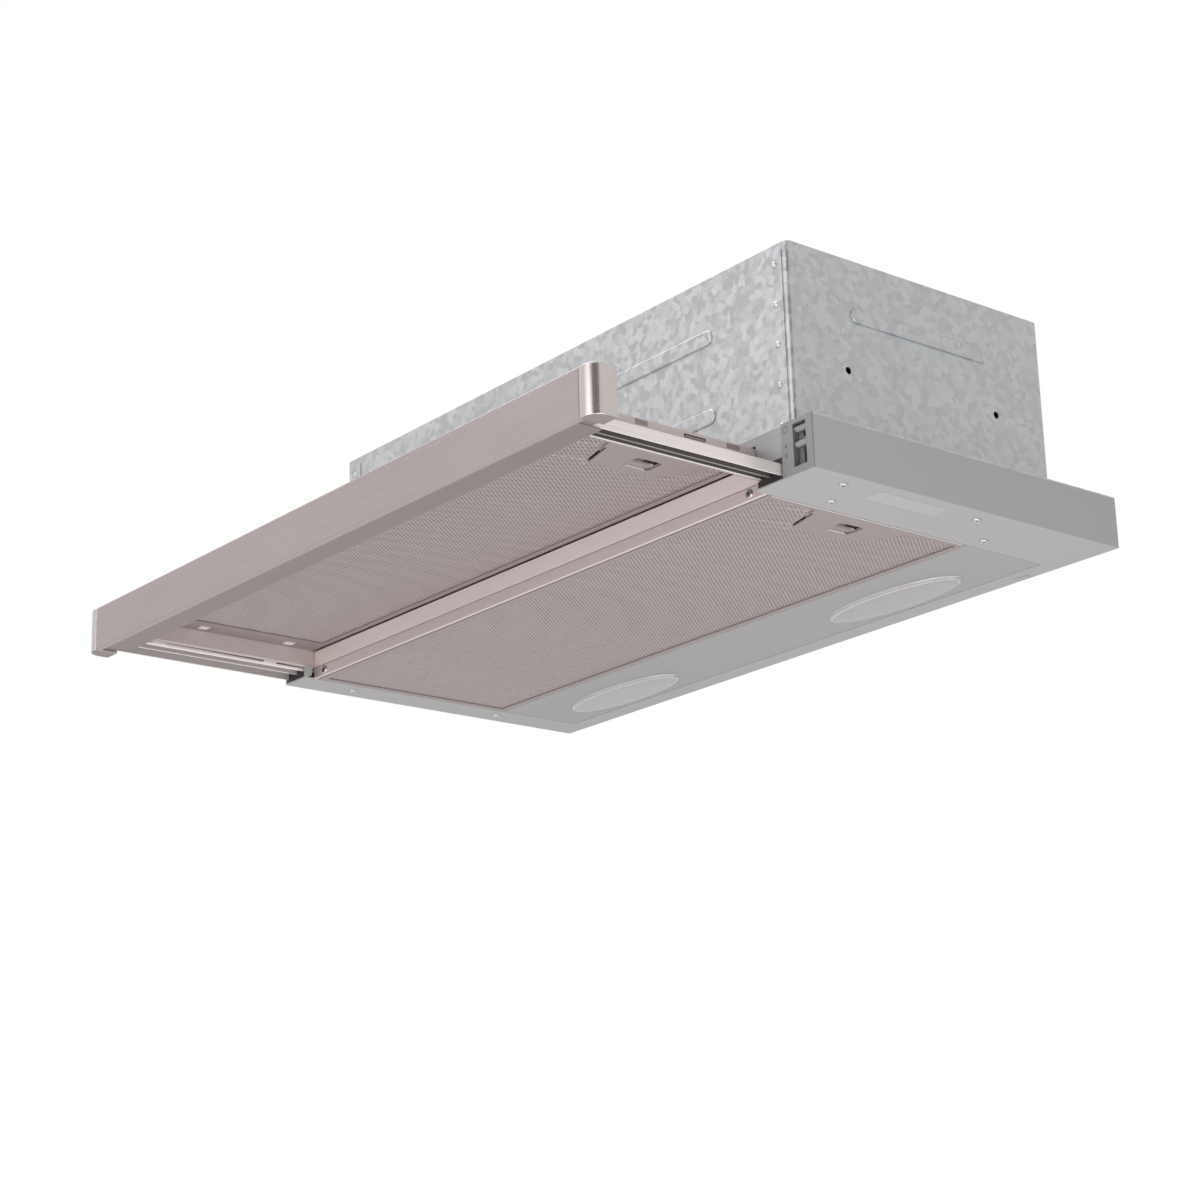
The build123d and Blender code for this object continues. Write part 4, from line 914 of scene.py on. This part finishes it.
# Screws: plated steel pan heads with a pressed cross recess. One form serves every fixing of the
# plate, trim, casing, collar and fascia.
BRIGHT = ((0.40, 0.40, 0.40), (0.50, 0.50, 0.50))
bright = finish("plated screw", grain, 900, BRIGHT, roughness=(0.15, 0.25), bump=0.02, metallic=1.0)
HEAD_R = 0.0032
HEAD_H = 0.0012
HEAD_CUTS = (-1, -0.5, -0.13, 0.13, 0.5, 1)
OUTERMOST = 0.99
CROSS_LONG = 0.45
CROSS_WIDE = 0.1
CROSS_DEEP = 0.25
CROSS_TAPER = 0.85
# Radius and height of the rings down a head's side, as shares of its flat top's radius.
HEAD_RINGS = ((1.18, -0.09), (1.3, -0.24), (1.3, -0.375))
FIRST_TURN = 0.4
NEXT_TURN = 1.1


def islands(node):
    """Boxes of a node's separate solids, in order of their place."""
    mesh = bmesh.new()
    mesh.from_mesh(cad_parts[node].data)
    bmesh.ops.remove_doubles(mesh, verts=mesh.verts, dist=WELD)
    left, boxes = set(mesh.verts), []
    while left:
        found, edge = set(), {next(iter(left))}
        while edge:
            found |= edge
            edge = {e.other_vert(v) for v in edge for e in v.link_edges} - found
        left -= found
        axes = list(zip(*(v.co for v in found)))
        boxes.append([Vector([pick(axis) for axis in axes]) for pick in (min, max)])
    mesh.free()
    return sorted(boxes, key=lambda box: [round(c, 4) for c in box[0]])


def cross_head(mesh, turn):
    """Pan head with a cross recess that faces up, its underside at the origin."""
    start = len(mesh.verts)
    grid = bmesh.ops.create_grid(mesh, x_segments=5, y_segments=5, size=1)["verts"]
    steps = sorted({round(v.co.x, 3) for v in grid})
    for v in grid:
        v.co.x = HEAD_CUTS[steps.index(round(v.co.x, 3))]
        v.co.y = HEAD_CUTS[steps.index(round(v.co.y, 3))]
    for v in grid:
        if max(abs(v.co.x), abs(v.co.y)) > OUTERMOST:
            v.co = v.co.normalized()
    faces = list(dict.fromkeys(f for v in grid for f in v.link_faces))
    edges = dict.fromkeys(e for f in faces for e in f.edges)
    rim = [e for e in edges if len(e.link_faces) == 1]
    cross = []
    for f in faces:
        x, y = (abs(c) for c in f.calc_center_median()[:2])
        if max(x, y) < CROSS_LONG and min(x, y) < CROSS_WIDE:
            cross.append(f)
    sunk = bmesh.ops.extrude_face_region(mesh, geom=cross)["geom"]
    bmesh.ops.delete(mesh, geom=cross, context="FACES_ONLY")
    bottom = [v for v in sunk if isinstance(v, bmesh.types.BMVert)]
    # The cross recess takes the painted shade.
    for f in sunk:
        if isinstance(f, bmesh.types.BMFace):
            f.material_index = 1
    bmesh.ops.translate(mesh, verts=bottom, vec=(0, 0, -CROSS_DEEP))
    bmesh.ops.scale(mesh, verts=bottom, vec=(CROSS_TAPER, CROSS_TAPER, 1))
    for share, z in HEAD_RINGS:
        ring = bmesh.ops.extrude_edge_only(mesh, edges=rim)["geom"]
        rim = [e for e in ring if isinstance(e, bmesh.types.BMEdge)]
        fresh = [v for v in ring if isinstance(v, bmesh.types.BMVert)]
        for v in fresh:
            v.co = (*(v.co.xy.normalized() * share), z)
    mesh.verts.ensure_lookup_table()
    whole = mesh.verts[start:]
    wide, foot = HEAD_RINGS[-1]
    bmesh.ops.translate(mesh, verts=whole, vec=(0, 0, -foot))
    bmesh.ops.scale(mesh, verts=whole, vec=(HEAD_R / wide, HEAD_R / wide, -HEAD_H / foot))
    bmesh.ops.rotate(mesh, verts=whole, cent=(0, 0, 0), matrix=Matrix.Rotation(turn, 3, "Z"))
    return whole


for node, body, facing in (
    ("plate_screws", "hood", Vector((0, 0, -1))),
    ("bar_trim_screws", "hood", Vector((0, -1, 0))),
    ("box_screws", "hood", Vector((0, 0, -1))),
    ("spigot_screws", "hood", Vector((0, 0, 1))),
    ("fascia_screws", "tray", Vector((0, -1, 0))),
):
    heads = bmesh.new()
    for i, (low, high) in enumerate(islands(node)):
        middle = (low + high) / 2
        half = (high - low) / 2
        top = middle + Vector([facing[k] * half[k] for k in range(3)])
        head = cross_head(heads, FIRST_TURN + NEXT_TURN * i)
        way = facing.to_track_quat("Z", "Y").to_matrix()
        seat = Matrix.Translation(top - facing * HEAD_H)
        bmesh.ops.transform(heads, verts=head, matrix=seat @ way.to_4x4())
    bmesh.ops.recalc_face_normals(heads, faces=heads.faces)
    piece(node + "_heads", heads, body, "bright_screw", [bright, shade], node)

# Switches: a moulded plate at the right end of the front wall, sprayed grey, with a recess for two
# sliding plastic knobs. The recess is painted darker, as the shade in it.
SWITCH_GREY = ((0.20, 0.197, 0.20), (0.26, 0.257, 0.26))
switch_grey = finish(
    "switch plate", grain, 1100, SWITCH_GREY,
    roughness=(0.3, 0.45), bump=0.06, metallic=0.25, coat=0.2, cloud=0.4,
)
WELL_SHADE = ((0.13, 0.135, 0.14), (0.18, 0.185, 0.19))
well_shade = finish("switch well shade", grain, 1100, WELL_SHADE, roughness=(0.4, 0.55), bump=0.06)
SWITCH_EDGE = 0.0003
WELL_LEFT = 0.011
WELL_RIGHT = 0.005
WELL_FOOT = 0.004
WELL_HEAD = 0.0025
WELL_FROM = 0.0008
WELL_TO = 0.007
plate = softened("switch_plate", SWITCH_EDGE)
low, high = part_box("switch_plate")
# Faces of the recess take the painted shade.
for face in plate.faces:
    place = face.calc_center_median()
    across = low.x + WELL_LEFT < place.x < high.x - WELL_RIGHT
    upright = low.z + WELL_FOOT < place.z < high.z - WELL_HEAD
    if across and upright and low.y + WELL_FROM < place.y < low.y + WELL_TO:
        face.material_index = 1
piece("switch_plate_moulding", plate, "hood", "body_paint", [switch_grey, well_shade], "switch_plate")
KNOB = ((0.27, 0.265, 0.268), (0.32, 0.315, 0.318))
knob_plastic = finish("knob plastic", grain, 1800, KNOB, roughness=(0.4, 0.5), bump=0.06)
KNOB_EDGE = 0.00025
light_knob = softened("light_slider", KNOB_EDGE)
piece("light_knob_slide", light_knob, "light_knob", "knob_plastic", knob_plastic, "light_slider")
speed_knob = softened("speed_slider", KNOB_EDGE)
piece("speed_knob_slide", speed_knob, "speed_knob", "knob_plastic", knob_plastic, "speed_slider")

# Switch marks: a small ring for the lamps and two ovals for the slow and fast fan, printed in dark
# grey beside the knobs.
MARK_T = 0.00008
MARK_IN = 0.0045
MARK_REACH = 0.003
RING_SHARE = 0.3
# Each mark's height over the plate's foot, half width and half height, and whether it is a ring.
MARKS = (
    (0.031, 0.0024, 0.0024, True),
    (0.020, 0.0011, 0.0014, False),
    (0.0136, 0.0009, 0.0018, False),
)
INK = ((0.10, 0.10, 0.105), (0.14, 0.14, 0.145))
ink = finish("mark ink", grain, 2400, INK, roughness=(0.5, 0.6), bump=0.02)
plate_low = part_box("switch_plate")[0]
marks = bmesh.new()
for up, wide, tall, hollow in MARKS:
    mark = bmesh.ops.create_circle(marks, cap_ends=True, segments=24, radius=1)["verts"]
    bmesh.ops.scale(marks, verts=mark, vec=(wide, tall, 1))
    if hollow:
        disc = mark[0].link_faces[:]
        bmesh.ops.inset_region(marks, faces=disc, thickness=RING_SHARE * wide, use_boundary=True)
        bmesh.ops.delete(marks, geom=disc, context="FACES")
    fresh = [v for v in marks.verts if abs(v.co.y) < MARK_REACH]
    bmesh.ops.rotate(marks, verts=fresh, cent=(0, 0, 0), matrix=Matrix.Rotation(pi / 2, 3, "X"))
    place = (plate_low.x + MARK_IN, plate_low.y - MARK_T / 2, plate_low.z + up)
    bmesh.ops.translate(marks, verts=fresh, vec=place)
bmesh.ops.solidify(marks, geom=marks.faces[:], thickness=MARK_T)
piece("switch_marks", marks, "hood", "body_paint", ink)

# Foil plate: a blank strip of metal foil with rounded corners, stuck under the right side of the
# bottom plate.
FOIL_L = 0.060
FOIL_W = 0.015
FOIL_T = 0.00012
FOIL_CORNER = 0.0015
FOIL_EDGE = 0.00005
FOIL_AT = (0.2816, -0.1845, -0.036)
FOIL = ((0.39, 0.39, 0.393), (0.47, 0.47, 0.474))
foil = finish("foil", grain, 500, FOIL, roughness=(0.3, 0.4), bump=0.04, metallic=0.5, cloud=0.5)
strip = raised_bar(FOIL_L, FOIL_W, FOIL_T, FOIL_CORNER, FOIL_EDGE)
downwards = Matrix.Rotation(pi / 2, 3, "Z") @ Matrix.Rotation(pi / 2, 3, "X")
foil_plate = bmesh.new()
put(foil_plate, strip, downwards, FOIL_AT)
piece("foil_plate", foil_plate, "hood", "body_paint", foil)

# Duct collar, flaps and gland: black mouldings on top of the casing. The collar is screwed on, its
# two flaps swing on pins in it, and the gland goes through a hole of its own.
COLLAR_EDGE = 0.0004
for node, body in (
    ("outlet_spigot", "hood"),
    ("cable_gland", "hood"),
    ("flap_front", "front_flap"),
    ("flap_rear", "rear_flap"),
):
    piece(node + "_moulding", softened(node, COLLAR_EDGE), body, "black_plastic", black, node)

# Hidden works: fan, motor, lamp sockets, bulbs and wiring boxes behind the panels, of plastic,
# glass and painted metal. Their meshes stay as they are and only get a finish.
SOCKET = ((0.62, 0.61, 0.57), (0.68, 0.67, 0.63))
socket_plastic = finish("socket plastic", grain, 1500, SOCKET, roughness=(0.45, 0.55), bump=0.05)
MOTOR = ((0.07, 0.072, 0.08), (0.10, 0.102, 0.11))
motor_paint = finish(
    "motor paint", grain, 1200, MOTOR, roughness=(0.4, 0.5), bump=0.08, metallic=0.4,
)
GLASS = ((0.80, 0.80, 0.78), (0.86, 0.86, 0.84))
bulb_glass = finish("frosted bulb", grain, 300, GLASS, roughness=(0.3, 0.4), bump=0.01)
for material, nodes in (
    (socket_plastic, ("lamp_holder_left", "lamp_holder_right", "terminal_box", "capacitor")),
    (bulb_glass, ("lamp_bulb_left", "lamp_bulb_right")),
    (motor_paint, ("motor", "fan_shaft")),
    (black, ("switch_blocks", "control_box", "microswitch", "switch_plunger", "impeller")),
):
    for node in nodes:
        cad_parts[node].data.materials.clear()
        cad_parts[node].data.materials.append(material)
